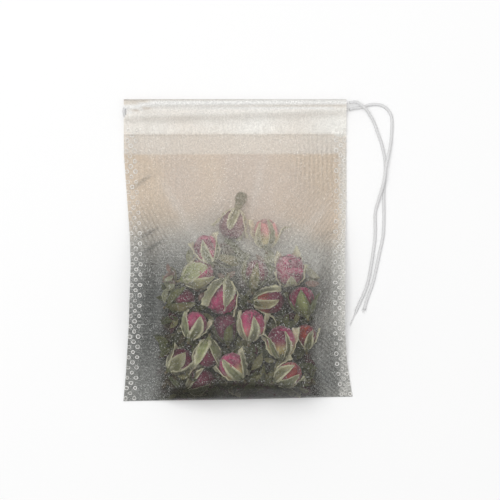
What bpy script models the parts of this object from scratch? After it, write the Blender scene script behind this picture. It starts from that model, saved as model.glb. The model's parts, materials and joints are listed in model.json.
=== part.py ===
"""Drawstring filter bag of sheer mesh, filled with dried rosebuds and lying on its back.

Metres, +Z up. The frame stands at the middle of the footprint: +Y runs to the mouth, +X to the
side where both ends of the drawstring come out, and the back of the bag rests on z = 0.
"""
import bpy
import bmesh
import numpy as np
from math import cos, hypot, pi, radians, sin, sqrt
from mathutils import Euler, Vector
from mathutils.bvhtree import BVHTree

BAG_WIDTH = 0.060
BAG_LENGTH = 0.079
LEFT_DRAWN_IN = [(0.0, 0.0), (0.10, 0.0007), (0.25, 0.0015), (0.45, 0.0020), (0.55, 0.0017),
                 (0.68, 0.0009), (0.82, 0.0001), (0.90, 0.0009), (1.0, 0.0009)]
RIGHT_DRAWN_IN = [(0.0, 0.0), (0.06, 0.0008), (0.12, 0.0015), (0.22, 0.0020), (0.50, 0.0020),
                  (0.66, 0.0016), (1.0, 0.0016)]
BOTTOM_SKEW = 0.0012
PLY = 0.0002
CLEARANCE = 0.0003

SEAM_WIDTH = 0.0036
SEAM_COLUMNS = 3
WELD_GAP = 0.0001
WELD_PITCH = 0.0027
WELD_DIMPLE = 0.00008
SEAM_LIFT = 0.0038
FOLD_LIFT = 0.0030

FRONT_HEM = 0.0093
BACK_HEM = 0.0144
SIDE_SLIT = 0.0081
RAW_EDGE_RUN = 0.00015

CORD_DIAMETER = 0.00085
STRAND_RISE = 0.0017
STRAND_DIP_RUN = 0.0075
TAIL_GAP = 0.0004

BUD_DIAMETER = 0.0064
BUD_LENGTH = 0.0092
SEPAL_THICKNESS = 0.0005
HEAP_SIDE_ROOM = 0.0028
HEAP_FOLD_ROOM = 0.0016
HEAP_EDGE = 0.0007
HEAP_LENGTH = 0.0421
HEAP_CELL = 0.00028
ROLL_REACH = 0.0014

CLOTH_COLUMNS = 16
CLOTH_PASSES = 300
CLOTH_ROUNDS = 8
HEM_ROWS = 13

CHANNEL_RADIUS = CORD_DIAMETER / 2 + CLEARANCE
WRAP_RADIUS = CHANNEL_RADIUS + PLY
FOLD_Y = -BAG_LENGTH / 2
MOUTH_Y = BAG_LENGTH / 2
FRONT_RAW_Y = MOUTH_Y - FRONT_HEM
BACK_RAW_Y = MOUTH_Y - BACK_HEM
SLIT_Y = MOUTH_Y - SIDE_SLIT
WELD_ROWS = int((SLIT_Y - FOLD_Y) / WELD_PITCH)


def clear_scene():
    for item in list(bpy.data.objects):
        bpy.data.objects.remove(item, do_unlink=True)


def collection(name):
    group = bpy.data.collections.new(name)
    bpy.context.scene.collection.children.link(group)
    return group


def material(name, colour, roughness):
    mat = bpy.data.materials.new(name)
    mat.use_nodes = True
    shader = mat.node_tree.nodes["Principled BSDF"]
    shader.inputs["Base Color"].default_value = (*colour, 1.0)
    shader.inputs["Roughness"].default_value = roughness
    shader.inputs["Metallic"].default_value = 0.0
    return mat


def face_outwards(bm):
    bmesh.ops.recalc_face_normals(bm, faces=bm.faces)
    if bm.calc_volume(signed=True) < 0:
        bmesh.ops.reverse_faces(bm, faces=bm.faces)


def object_from(bm, name, group, mat=None):
    face_outwards(bm)
    mesh = bpy.data.meshes.new(name)
    bm.to_mesh(mesh)
    bm.free()
    if mat:
        mesh.materials.append(mat)
    item = bpy.data.objects.new(name, mesh)
    group.objects.link(item)
    return item


def smooth_step(t):
    t = min(max(t, 0.0), 1.0)
    return t * t * (3.0 - 2.0 * t)


def smooth_route(points):
    """Points 2.5 cord diameters apart on a smooth curve through the route's own points."""
    pts = [Vector(p) for p in points]
    pts = [2 * pts[0] - pts[1]] + pts + [2 * pts[-1] - pts[-2]]
    dense = []
    for a, b, c, d in zip(pts, pts[1:], pts[2:], pts[3:]):
        for k in range(12):
            t = k / 12
            dense.append(0.5 * (2 * b + (c - a) * t + (2 * a - 5 * b + 4 * c - d) * t ** 2
                                + (3 * b - a - 3 * c + d) * t ** 3))
    dense.append(pts[-2])
    run = np.cumsum([0.0] + [(q - p).length for p, q in zip(dense, dense[1:])])
    count = int(round(run[-1] / (2.5 * CORD_DIAMETER))) + 1
    even = np.linspace(0.0, run[-1], count)
    axes = [np.interp(even, run, [p[i] for p in dense]) for i in range(3)]
    return [Vector(p) for p in zip(*axes)]


def cord_tube(name, points, radius, group, mat=None):
    curve = bpy.data.curves.new(name, "CURVE")
    curve.dimensions = "3D"
    curve.bevel_depth = radius
    curve.bevel_resolution = 2
    curve.use_fill_caps = True
    spline = curve.splines.new("POLY")
    spline.points.add(len(points) - 1)
    for point, place in zip(spline.points, points):
        point.co = (*place, 1.0)
    if mat:
        curve.materials.append(mat)
    item = bpy.data.objects.new(name, curve)
    group.objects.link(item)
    return item


def mesh_from_tube(tube, name, group):
    """A closed mesh of a curve tube, so that it can cut."""
    evaluated = tube.evaluated_get(bpy.context.evaluated_depsgraph_get())
    mesh = bpy.data.meshes.new_from_object(evaluated)
    bm = bmesh.new()
    bm.from_mesh(mesh)
    bmesh.ops.remove_doubles(bm, verts=bm.verts, dist=0.00001)
    item = object_from(bm, name, group)
    item.matrix_world = tube.matrix_world
    bpy.data.objects.remove(tube, do_unlink=True)
    return item


# Outline of the bag as it lies, and the two strands of the drawstring in its hems.

def side_x(y, side):
    """Outer edge of the bag at height y of the outline, side -1 at the left and 1 at the right."""
    stations, drawn_in = zip(*(LEFT_DRAWN_IN if side < 0 else RIGHT_DRAWN_IN))
    return side * (BAG_WIDTH / 2 - float(np.interp((y - FOLD_Y) / BAG_LENGTH, stations, drawn_in)))


def front_strand(x):
    """Place in Y of the strand in the front hem: it dips to the left edge."""
    left = side_x(MOUTH_Y, -1)
    dip = STRAND_RISE * 0.65 * (1 - smooth_step((x - left) / STRAND_DIP_RUN))
    return MOUTH_Y - WRAP_RADIUS - 0.15 * STRAND_RISE * (1 - x / (BAG_WIDTH / 2)) / 2 - dip


def back_strand(x):
    """Place in Y of the strand in the back hem: it slants down to the left."""
    right = side_x(MOUTH_Y, 1)
    return MOUTH_Y - WRAP_RADIUS - STRAND_RISE * (1 + (right - x) / BAG_WIDTH)


BACK_STRAND_Z = PLY + CHANNEL_RADIUS
WRAP_TANGENT = sqrt(2.0)


def front_strand_z(x):
    """Height of the front strand, which lies on the back hem or against its raised strand."""
    ends = []
    for end in (side_x(MOUTH_Y, -1), side_x(MOUTH_Y, 1)):
        apart = front_strand(end) - back_strand(end)
        flat = 4 * PLY + CLEARANCE + CHANNEL_RADIUS
        beside = (BACK_STRAND_Z + (WRAP_RADIUS + CHANNEL_RADIUS) * WRAP_TANGENT
                  + PLY + CLEARANCE - apart)
        ends.append(max(flat, beside))
    across = (x - side_x(MOUTH_Y, -1)) / (side_x(MOUTH_Y, 1) - side_x(MOUTH_Y, -1))
    return ends[0] + (ends[1] - ends[0]) * across


def over_cord(height, offset):
    """Cloth that wraps a strand's channel and leaves it at 45 degrees."""
    offset = abs(offset)
    if offset < WRAP_RADIUS / WRAP_TANGENT:
        return height + sqrt(WRAP_RADIUS ** 2 - offset ** 2)
    return height + WRAP_RADIUS * WRAP_TANGENT - offset


def held_route():
    """Route of the drawstring through the front hem, round the left edge and back."""
    right = side_x(MOUTH_Y, 1) + CLEARANCE
    left = side_x(MOUTH_Y, -1)
    stations = [right - (right - left) * k / 8 for k in range(9)]
    front = [(x, front_strand(x), front_strand_z(x)) for x in stations]
    back = [(x, back_strand(x), BACK_STRAND_Z) for x in reversed(stations)]
    turn_y = (front[-1][1] + back[0][1]) / 2
    turn_z = (front[-1][2] + back[0][2]) / 2
    radius = (front[-1][1] - back[0][1]) / 2
    turn = [(left - radius * sin(a) * 0.75, turn_y + radius * cos(a),
             turn_z + (front[-1][2] - turn_z) * cos(a)) for a in (pi / 4, pi / 2, 3 * pi / 4)]
    return front + turn + back


# The rosebuds and their heap.

BUD_RINGS = [(0.00, 0.11), (0.10, 0.15), (0.22, 0.46), (0.42, 0.88), (0.62, 1.00), (0.81, 0.84), (0.95, 0.45)]
SEPALS = 5


def rosebud_mesh(size, flare, turn):
    """One bud along +Z about its middle: stalk end, hip, five-lobed petals and five sepals."""
    radius = BUD_DIAMETER * size / 2
    length = BUD_LENGTH * size
    bm = bmesh.new()
    sides = 2 * SEPALS
    bmesh.ops.create_uvsphere(bm, u_segments=sides, v_segments=len(BUD_RINGS) + 1, radius=1.0)
    levels = sorted({round(v.co.z, 4) for v in bm.verts})
    for v in bm.verts:
        level = levels.index(round(v.co.z, 4))
        if level in (0, len(levels) - 1):
            v.co = Vector((0.0, 0.0, length * (-0.51 if level == 0 else 0.5)))
            continue
        height, share = BUD_RINGS[level - 1]
        angle = np.arctan2(v.co.y, v.co.x)
        lobe = 1.0 + 0.06 * cos(SEPALS * angle + turn) * smooth_step((height - 0.3) / 0.3)
        twist = angle + 0.35 * height
        reach = radius * share * lobe
        v.co = Vector((reach * cos(twist), reach * sin(twist), length * (height - 0.5)))
    bm.faces.ensure_lookup_table()
    low = length * (BUD_RINGS[2][0] - 0.5)
    high = length * (BUD_RINGS[3][0] - 0.5)
    belly = [f for f in bm.faces if low < f.calc_center_median().z < high]
    belly.sort(key=lambda f: np.arctan2(f.calc_center_median().y, f.calc_center_median().x))
    for face in belly[::2]:
        extrude_sepal(bm, face, radius, length, flare)
    return bm


def extrude_sepal(bm, face, radius, length, flare):
    """A pointed sepal drawn out of one face of the hip, in two lengths, up beside the petals."""
    stages = [(0.52, 1.05, 0.80, 1.0), (0.90, 1.00 + flare, 0.22, 0.7)]
    for height, reach, width, thickness in stages:
        middle = face.calc_center_median()
        angle = np.arctan2(middle.y, middle.x)
        face = bmesh.ops.extrude_discrete_faces(bm, faces=[face])["faces"][0]
        for v in face.verts:
            turned = np.arctan2(v.co.y, v.co.x) - angle
            turned = (turned + pi) % (2 * pi) - pi
            inner = v.co.z > middle.z
            out = radius * reach + (0.0 if inner else SEPAL_THICKNESS * thickness)
            rise = 0.0 if inner else -0.3 * SEPAL_THICKNESS
            spot = angle + turned * width
            v.co = Vector((out * cos(spot), out * sin(spot), length * (height - 0.5) + rise))


# x and y of each bud's middle as a share of the heap's half width and length, heading of its tip,
# pitch of its tip above the level, roll, size, flare of the sepals, and its colour.
PETAL_PINK = (0.52, 0.08, 0.19)
PETAL_WINE = (0.16, 0.03, 0.06)
PETAL_RED = (0.46, 0.10, 0.06)
PETAL_PALE = (0.62, 0.36, 0.25)
CALYX_GREEN = (0.30, 0.33, 0.16)
CALYX_DARK = (0.07, 0.08, 0.045)
HEAP = [
    (-0.84, 0.05, 22, 0, 20, 0.95, 0.10, CALYX_DARK),
    (0.96, -0.41, 94, 0, 10, 0.85, 0.08, PETAL_RED),
    (0.39, 0.07, 3, 0, 10, 1.05, 0.12, PETAL_WINE),
    (-0.17, -0.30, 98, 0, 0, 1.00, 0.10, PETAL_WINE),
    (-0.56, -0.97, 30, 0, 30, 1.00, 0.10, PETAL_WINE),
    (-0.15, -0.97, -20, 0, 38, 0.88, 0.06, CALYX_DARK),
    (0.72, -0.98, -8, 0, 38, 0.88, 0.06, CALYX_DARK),
    (-0.10, 0.61, 151, 0, 50, 0.95, 0.12, CALYX_DARK),
    (0.16, 0.34, 80, 0, 64, 1.00, 0.12, PETAL_WINE),
    (-0.58, 0.36, 21, 0, 45, 1.10, 0.10, CALYX_GREEN),
    (-0.70, -0.20, 70, 0, 15, 0.95, 0.14, PETAL_WINE),
    (0.69, -0.41, 92, 0, 30, 1.10, 0.10, PETAL_RED),
    (-0.77, -0.76, 39, 0, 65, 0.95, 0.12, CALYX_GREEN),
    (0.91, 0.02, 106, 0, 55, 1.00, 0.14, CALYX_GREEN),
    (-0.07, 0.98, -108, 4, 0, 1.05, 0.16, PETAL_WINE),
    (0.36, 0.87, 92, 0, 24, 1.00, 0.14, PETAL_PALE),
    (-0.41, 0.61, 110, 5, 50, 0.95, 0.12, PETAL_PINK),
    (0.67, -0.82, 30, 0, 35, 0.95, 0.14, PETAL_WINE),
    (-0.48, -0.61, -97, 0, 21, 0.95, 0.14, CALYX_GREEN),
    (-0.07, -0.73, 129, 6, 51, 1.00, 0.12, PETAL_PALE),
    (0.24, -0.23, 83, 8, 15, 1.05, 0.16, PETAL_PINK),
    (-0.26, 0.10, -106, 5, 40, 1.20, 0.14, PETAL_PINK),
    (0.66, 0.43, 90, 55, 0, 1.20, 0.18, PETAL_PINK),
]


def height_maps(bm):
    """Highest points of a mesh over the cells about its origin, and lowest with a cell to spare."""
    tree = BVHTree.FromBMesh(bm)
    half = int(BUD_LENGTH * 0.8 / HEAP_CELL)
    low = np.full((2 * half + 1, 2 * half + 1), np.inf)
    high = np.full_like(low, -np.inf)
    up = Vector((0.0, 0.0, 1.0))
    spots = []
    for a in range(-half, half + 1):
        for b in range(-half, half + 1):
            spot = Vector((a * HEAP_CELL, b * HEAP_CELL, 0.0))
            spots += [tree.ray_cast(spot - up, up)[0], tree.ray_cast(spot + up, -up)[0]]
    for edge in bm.edges:
        a, b = (v.co for v in edge.verts)
        spots += [a.lerp(b, k / 8) for k in range(9)]
    for spot in spots:
        if spot is not None:
            i, j = round(spot.x / HEAP_CELL) + half, round(spot.y / HEAP_CELL) + half
            low[i, j] = min(low[i, j], spot.z)
            high[i, j] = max(high[i, j], spot.z)
    shifts = [(a, b) for a in (-1, 0, 1) for b in (-1, 0, 1)]
    low = np.min([np.roll(low, shift, (0, 1)) for shift in shifts], axis=0)
    return low, high, half


def cell_of(x, y):
    """Cell of the heap's height map, which reaches a bud's length past the bag all round."""
    return round((x + BAG_WIDTH / 2 + BUD_LENGTH) / HEAP_CELL), round((y - FOLD_Y + BUD_LENGTH) / HEAP_CELL)


def place_of(i, j):
    return i * HEAP_CELL - BAG_WIDTH / 2 - BUD_LENGTH, j * HEAP_CELL + FOLD_Y - BUD_LENGTH


def pocket_floor():
    """The back ply's inner face over the cells, with walls where the cloth closes on the buds."""
    columns, rows = cell_of(BAG_WIDTH / 2 + BUD_LENGTH, MOUTH_Y + BUD_LENGTH)
    floor = np.full((columns, rows), BAG_LENGTH)
    for i in range(columns):
        for j in range(rows):
            x, y = place_of(i, j)
            y = unskewed(x, y)
            inside = min(x - side_x(y, -1), side_x(y, 1) - x) - SEAM_WIDTH
            if min(inside, y - FOLD_Y) > HEAP_EDGE and y < BACK_RAW_Y:
                floor[i, j] = back_inner(x, y, y)
    return floor


def build_heap(group):
    """Each bud comes down on the back ply or on the buds already there, lowest near its mark."""
    half_width = side_x(0.0, 1) - SEAM_WIDTH - HEAP_SIDE_ROOM - BUD_DIAMETER / 2
    half_length = HEAP_LENGTH / 2
    middle_y = FOLD_Y + HEAP_EDGE + BUD_DIAMETER / 2 + half_length
    heap = pocket_floor()
    tops = np.zeros_like(heap)
    for number, (fx, fy, heading, pitch, roll, size, flare, colour) in enumerate(HEAP, 1):
        bud = rosebud_mesh(size, flare, 0.7 * number)
        turn = Euler((0.0, radians(90 - pitch), radians(heading)), "XYZ").to_matrix()
        turn = turn @ Euler((0.0, 0.0, radians(roll)), "XYZ").to_matrix()
        bmesh.ops.transform(bud, matrix=turn.to_4x4(), verts=bud.verts)
        low, high, half = height_maps(bud)
        mark = cell_of(fx * half_width, middle_y + fy * half_length)
        reach = int(ROLL_REACH / HEAP_CELL)
        rests = []
        for a in range(-reach, reach + 1):
            for b in range(-reach, reach + 1):
                i, j = mark[0] + a, mark[1] + b
                under = heap[i - half:i + half + 1, j - half:j + half + 1]
                rest = float((under - low).max()) + CLEARANCE
                rests.append((rest + 0.2 * HEAP_CELL * hypot(a, b), rest, i, j))
        _, rest, i, j = min(rests)
        for cells in (heap, tops):
            covered = cells[i - half:i + half + 1, j - half:j + half + 1]
            np.maximum(covered, high + rest, out=covered)
        item = object_from(bud, f"rosebud_{number:02d}", group, material(f"rosebud_{number:02d}", colour, 0.85))
        item.location = (*place_of(i, j), rest)
    return tops


# The cloth: heights of the inner faces of the back and front plies over the outline.

def skew_share(x):
    """How much of its distance from the mouth the outline rises at x, as the bottom slants up."""
    return BOTTOM_SKEW * (0.5 + x / BAG_WIDTH) / BAG_LENGTH


def unskewed(x, y):
    """Height on the outline of a place in plan."""
    return (y - skew_share(x) * MOUTH_Y) / (1.0 - skew_share(x))


def outline_point(column, y):
    """Plan place of a grid column, counted from the left edge, at height y of the outline."""
    left = side_x(y, -1)
    right = side_x(y, 1)
    seam = SEAM_WIDTH / SEAM_COLUMNS
    last = 2 * SEAM_COLUMNS + CLOTH_COLUMNS
    if column <= SEAM_COLUMNS:
        x = left + seam * column
    elif column >= last - SEAM_COLUMNS:
        x = right - seam * (last - column)
    else:
        share = (column - SEAM_COLUMNS) / CLOTH_COLUMNS
        x = left + SEAM_WIDTH + share * (right - left - 2 * SEAM_WIDTH)
    return x, y + skew_share(x) * (MOUTH_Y - y)


def rise(distance, room):
    """Share of an edge's lift at a distance inside it: 1 at the edge, 0 past the room."""
    return max(0.0, 1.0 - max(distance, 0.0) / room) ** 2


def back_inner(x, y, outline_y):
    """Height of the back ply's inner face: flat, rising to the seams, the fold and the strand."""
    if outline_y >= BACK_RAW_Y:
        return max(2 * PLY, over_cord(BACK_STRAND_Z, y - back_strand(x)))
    t = (outline_y - FOLD_Y) / BAG_LENGTH
    seam_lift = SEAM_LIFT * sin(pi * min(t / 0.7, 1.0)) ** 2
    inside = min(x - side_x(outline_y, -1), side_x(outline_y, 1) - x) - SEAM_WIDTH
    across = min(abs(x) / (BAG_WIDTH / 2 - SEAM_WIDTH), 1.0)
    fold_lift = FOLD_LIFT * cos(pi * across / 2) ** 2
    lift = max(seam_lift * rise(inside, HEAP_SIDE_ROOM),
               fold_lift * rise(outline_y - FOLD_Y, HEAP_FOLD_ROOM))
    return PLY + lift


def row_heights():
    """Outline rows from the fold to the mouth: weld rows, both raw edges, then the hem."""
    start = FOLD_Y + (SLIT_Y - FOLD_Y - WELD_ROWS * WELD_PITCH)
    welds = [start + k * WELD_PITCH for k in range(WELD_ROWS + 1)]
    hem = [SLIT_Y + (MOUTH_Y - SLIT_Y) * k / HEM_ROWS for k in range(1, HEM_ROWS + 1)]
    extra = [FOLD_Y, (welds[0] + welds[1]) / 2,
             BACK_RAW_Y - RAW_EDGE_RUN, BACK_RAW_Y, FRONT_RAW_Y - RAW_EDGE_RUN, FRONT_RAW_Y]
    return sorted(welds + hem + extra), welds


def draw_taut(front, floor, fixed, rows):
    """Pull the front ply taut between its fixed rows and columns, without going under the floor."""
    above = np.diff(rows)[1:]
    below = np.diff(rows)[:-1]
    weight = WELD_PITCH ** 2 / (above * below)
    for _ in range(CLOTH_PASSES):
        across = (front[:-2, 1:-1] + front[2:, 1:-1]) / 2
        along = (front[1:-1, :-2] * above + front[1:-1, 2:] * below) / (above + below)
        drawn = np.maximum((across + along * weight) / (1 + weight), floor[1:-1, 1:-1])
        front[1:-1, 1:-1] = np.where(fixed[1:-1, 1:-1], front[1:-1, 1:-1], drawn)


def shortfall(corners, tops):
    """How far the buds reach above a cloth quad of corners (x, y, z) with its clearance."""
    (x0, y0, z00), (x1, _, z10), (_, y1, z01), (_, _, z11) = corners
    low, high = cell_of(x0, y0), cell_of(x1, y1)
    s, t = np.mgrid[low[0]:high[0] + 1, low[1]:high[1] + 1]
    under = tops[low[0]:high[0] + 1, low[1]:high[1] + 1]
    s = (s - low[0]) / max(high[0] - low[0], 1)
    t = (t - low[1]) / max(high[1] - low[1], 1)
    rising = np.where(s > t, z00 + s * (z10 - z00) + t * (z11 - z10), z00 + t * (z01 - z00) + s * (z11 - z01))
    falling = np.where(s + t < 1, z00 + s * (z10 - z00) + t * (z01 - z00),
                       z11 + (1 - s) * (z01 - z11) + (1 - t) * (z10 - z11))
    short = np.where(under > 0, under + CLEARANCE - np.minimum(rising, falling), 0.0)
    return float(short.max())


def drape(rows, tops):
    """Inner faces of both plies on the grid: the front ply is drawn taut over the heap."""
    columns = 2 * SEAM_COLUMNS + CLOTH_COLUMNS
    plan = [[outline_point(i, y) for y in rows] for i in range(columns + 1)]
    back = np.array([[back_inner(*place, y) for place, y in zip(line, rows)] for line in plan])
    fixed = np.zeros(back.shape, dtype=bool)
    fixed[:SEAM_COLUMNS + 1] = fixed[columns - SEAM_COLUMNS:] = True
    fixed[:, 0] = True
    fixed[:, np.array(rows) >= FRONT_RAW_Y - RAW_EDGE_RUN] = True
    welded = fixed & (np.array(rows) < BACK_RAW_Y - RAW_EDGE_RUN)
    floor = back + np.where(welded, WELD_GAP, CLEARANCE)
    front = floor.copy()
    for _ in range(CLOTH_ROUNDS):
        draw_taut(front, floor, fixed, rows)
        for i in range(SEAM_COLUMNS, columns - SEAM_COLUMNS):
            for j in range(len(rows) - 1):
                corners = [(i, j), (i + 1, j), (i, j + 1), (i + 1, j + 1)]
                short = shortfall([(*plan[a][b], front[a, b]) for a, b in corners], tops)
                for corner in corners if short > 0 else ():
                    floor[corner] = max(floor[corner], front[corner] + short)
    front = np.where(fixed, front, np.maximum(front, floor))
    return plan, back, front


def slab(columns, rows, point):
    """A closed sheet: a grid given thickness, then each corner set by point(i, j, on_top)."""
    bm = bmesh.new()
    bmesh.ops.create_grid(bm, x_segments=columns, y_segments=rows, size=1.0)
    raised = bmesh.ops.extrude_face_region(bm, geom=bm.faces[:], use_keep_orig=True)["geom"]
    for v in raised:
        if isinstance(v, bmesh.types.BMVert):
            v.co.z = 1.0
    corners = {}
    for v in bm.verts:
        i = round((v.co.x + 1) / 2 * columns)
        j = round((v.co.y + 1) / 2 * rows)
        corners[i, j, v.co.z > 0.5] = v
    for key, v in corners.items():
        v.co = point(*key)
    return bm, corners


def face_between(corners, i, j, on_top):
    keys = [(i, j, on_top), (i + 1, j, on_top), (i + 1, j + 1, on_top), (i, j + 1, on_top)]
    shared = set(corners[keys[0]].link_faces)
    for key in keys[1:]:
        shared &= set(corners[key].link_faces)
    return shared.pop()


def press_welds(bm, corners, rows, welds):
    """The dotted side welds: three staggered columns of small pits, pressed in from both faces."""
    last = 2 * SEAM_COLUMNS + CLOTH_COLUMNS
    places = {round(y, 7): j for j, y in enumerate(rows)}
    for on_top in (False, True):
        inward = Vector((0.0, 0.0, -WELD_DIMPLE if on_top else WELD_DIMPLE))
        for first in (0, last - SEAM_COLUMNS):
            pitted, plain = [], []
            for low, high in zip(welds[1:], welds[2:]):
                j = places[round(low, 7)]
                if rows[j + 1] < high - RAW_EDGE_RUN / 2:
                    continue
                for column in range(SEAM_COLUMNS):
                    face = face_between(corners, first + column, j, on_top)
                    (plain if column % 2 else pitted).append(face)
            staggered = []
            for low in welds[1:-1]:
                j = places[round(low, 7)]
                for column in range(1, SEAM_COLUMNS, 2):
                    a = corners[first + column, j, on_top]
                    b = corners[first + column + 1, j, on_top]
                    edge = next(e for e in a.link_edges if e.other_vert(a) == b)
                    staggered.append(bmesh.utils.edge_split(edge, a, 0.5)[1])
            pits = bmesh.ops.poke(bm, faces=pitted)["verts"]
            bmesh.ops.poke(bm, faces=plain)
            for v in pits + staggered:
                v.co += inward


def slope_share(heights, plan):
    """How much longer the ply is measured upright than square to its face, at each grid corner."""
    xs = np.array([[p[0] for p in line] for line in plan])
    ys = np.array([[p[1] for p in line] for line in plan])
    along_x = np.gradient(heights, axis=0) / np.gradient(xs, axis=0)
    along_y = np.gradient(heights, axis=1) / np.gradient(ys, axis=1)
    return np.sqrt(1.0 + along_x ** 2 + along_y ** 2)


def build_pouch(tops, parts, cutters):
    """One cut of mesh, folded at the bottom, hemmed twice at the mouth and welded up the sides."""
    rows, welds = row_heights()
    columns = 2 * SEAM_COLUMNS + CLOTH_COLUMNS
    plan, back, front = drape(rows, tops)
    front_ply = PLY * slope_share(front, plan)
    back_ply = PLY * slope_share(back, plan)

    def outer(i, j, on_top):
        x, y = plan[i][j]
        if not on_top:
            return x, y, (0.0 if rows[j] >= BACK_RAW_Y - RAW_EDGE_RUN else max(0.0, back[i, j] - back_ply[i, j]))
        if rows[j] >= FRONT_RAW_Y:
            over = over_cord(front_strand_z(x), y - front_strand(x))
            return x, y, max(front[i, j] + 2 * PLY, over)
        return x, y, front[i, j] + front_ply[i, j]

    def inner(i, j, on_top):
        column = i + SEAM_COLUMNS
        x, y = plan[column][j]
        if j == 0:
            y += PLY
        if j == len(rows) - 1:
            y += SEAM_WIDTH
        if rows[j] > SLIT_Y and i in (0, CLOTH_COLUMNS):
            column = 0 if i == 0 else columns
            x = plan[column][j][0] + (SEAM_WIDTH if i else -SEAM_WIDTH)
        return x, y, (front if on_top else back)[column, j]

    bm, corners = slab(columns, len(rows) - 1, outer)
    press_welds(bm, corners, rows, welds)
    bmesh.ops.dissolve_limit(bm, angle_limit=radians(0.01), verts=bm.verts, edges=bm.edges)
    pouch = object_from(bm, "filter_pouch", parts, material("sheer_mesh", (0.72, 0.69, 0.62), 0.6))
    bm, corners = slab(CLOTH_COLUMNS, len(rows) - 1, inner)
    bmesh.ops.dissolve_limit(bm, angle_limit=radians(0.01), verts=bm.verts, edges=bm.edges)
    cavity = object_from(bm, "pouch_inside", cutters)
    route = smooth_route(held_route())
    beyond = Vector((SEAM_WIDTH, 0.0, 0.0))
    tube = cord_tube("hem_channel", [route[0] + beyond] + route + [route[-1] + beyond], CHANNEL_RADIUS, cutters)
    channel = mesh_from_tube(tube, "hem_channel", cutters)
    for cutter in (cavity, channel):
        cutter.hide_render = True
        cutter.display_type = "WIRE"
        cut = pouch.modifiers.new(cutter.name, "BOOLEAN")
        cut.operation = "DIFFERENCE"
        cut.solver = "EXACT"
        cut.object = cutter


# Free ends of the drawstring, from the photograph: they leave the right edge and lie on the table.

UPPER_TAIL = [
    (0.0306, 0.0388, 0.00195), (0.0318, 0.0383, 0.00178), (0.0327, 0.0376, 0.00168),
    (0.0337, 0.0366, 0.00145), (0.0347, 0.0351, 0.00095), (0.0358, 0.0329, 0.00055),
    (0.0367, 0.0304, 0.00043), (0.0375, 0.0281, 0.00043), (0.0381, 0.0256, 0.00043),
    (0.0385, 0.0232, 0.00043), (0.0386, 0.0208, 0.00043), (0.0384, 0.0182, 0.00043),
    (0.0382, 0.0156, 0.00043), (0.03815, 0.0129, 0.00043), (0.0382, 0.0092, 0.00043),
    (0.0381, 0.0053, 0.00043), (0.0378, 0.0028, 0.00043), (0.0372, 0.0000, 0.00043),
    (0.0366, -0.0028, 0.00043), (0.0361, -0.0052, 0.00043), (0.0356, -0.0074, 0.00043),
    (0.0350, -0.0096, 0.00043), (0.0342, -0.0117, 0.00043), (0.0335, -0.0138, 0.00043),
    (0.0331, -0.0153, 0.00043),
]
LOWER_TAIL = [
    (0.0300, 0.0371, 0.00070), (0.0314, 0.0373, 0.00050), (0.0327, 0.0375, 0.00043),
    (0.0341, 0.0380, 0.00043), (0.0358, 0.0382, 0.00043), (0.0374, 0.0380, 0.00043),
    (0.0386, 0.0374, 0.00043), (0.0395, 0.0364, 0.00043), (0.0401, 0.0352, 0.00043),
    (0.0403, 0.0337, 0.00043), (0.0403, 0.0320, 0.00043), (0.0402, 0.0302, 0.00043),
    (0.0400, 0.0282, 0.00060), (0.0396, 0.0260, 0.00098), (0.0391, 0.0238, 0.00148),
    (0.0386, 0.0214, 0.00164), (0.0384, 0.0194, 0.00166), (0.0380, 0.0174, 0.00164),
    (0.0374, 0.0152, 0.00140), (0.0368, 0.0132, 0.00080), (0.0362, 0.0112, 0.00047),
    (0.0359, 0.0094, 0.00043), (0.0359, 0.0076, 0.00043), (0.0359, 0.0053, 0.00043),
    (0.0358, 0.0028, 0.00043), (0.0354, -0.0003, 0.00043), (0.0349, -0.0036, 0.00043),
    (0.0343, -0.0070, 0.00043), (0.0336, -0.0096, 0.00043), (0.0328, -0.0117, 0.00043),
    (0.0322, -0.0130, 0.00043), (0.0315, -0.0146, 0.00043), (0.0308, -0.0162, 0.00043),
    (0.0300, -0.0180, 0.00043), (0.0293, -0.0197, 0.00043),
]


def build_drawstring(parts):
    cotton = material("cotton_cord", (0.86, 0.85, 0.80), 0.9)
    cord_tube("drawstring_in_hem", smooth_route(held_route()), CORD_DIAMETER / 2, parts, cotton)
    start = side_x(MOUTH_Y, 1) + CLEARANCE + TAIL_GAP
    upper = [(start, front_strand(start), front_strand_z(start))] + UPPER_TAIL
    lower = [(start, back_strand(start), BACK_STRAND_Z)] + LOWER_TAIL
    cord_tube("drawstring_tail_upper", smooth_route(upper), CORD_DIAMETER / 2, parts, cotton)
    cord_tube("drawstring_tail_lower", smooth_route(lower), CORD_DIAMETER / 2, parts, cotton)


def main():
    clear_scene()
    parts = collection("drawstring_tea_filter_bag")
    cutters = collection("cutters")
    build_pouch(build_heap(parts), parts, cutters)
    build_drawstring(parts)


main()
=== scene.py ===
"""Drawstring filter bag of sheer mesh, filled with dried rosebuds and lying on its back.

Metres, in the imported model's frame: +Y runs to the mouth of the bag, +X to the side where both
ends of the drawstring come out, and the back of the bag rests on z = 0.
"""
import json
import random
from math import cos, exp, pi, radians, sin, sqrt, tau

import bmesh
import bpy
import numpy as np
from mathutils import Euler, Matrix, Vector, noise
from mathutils.bvhtree import BVHTree

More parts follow.
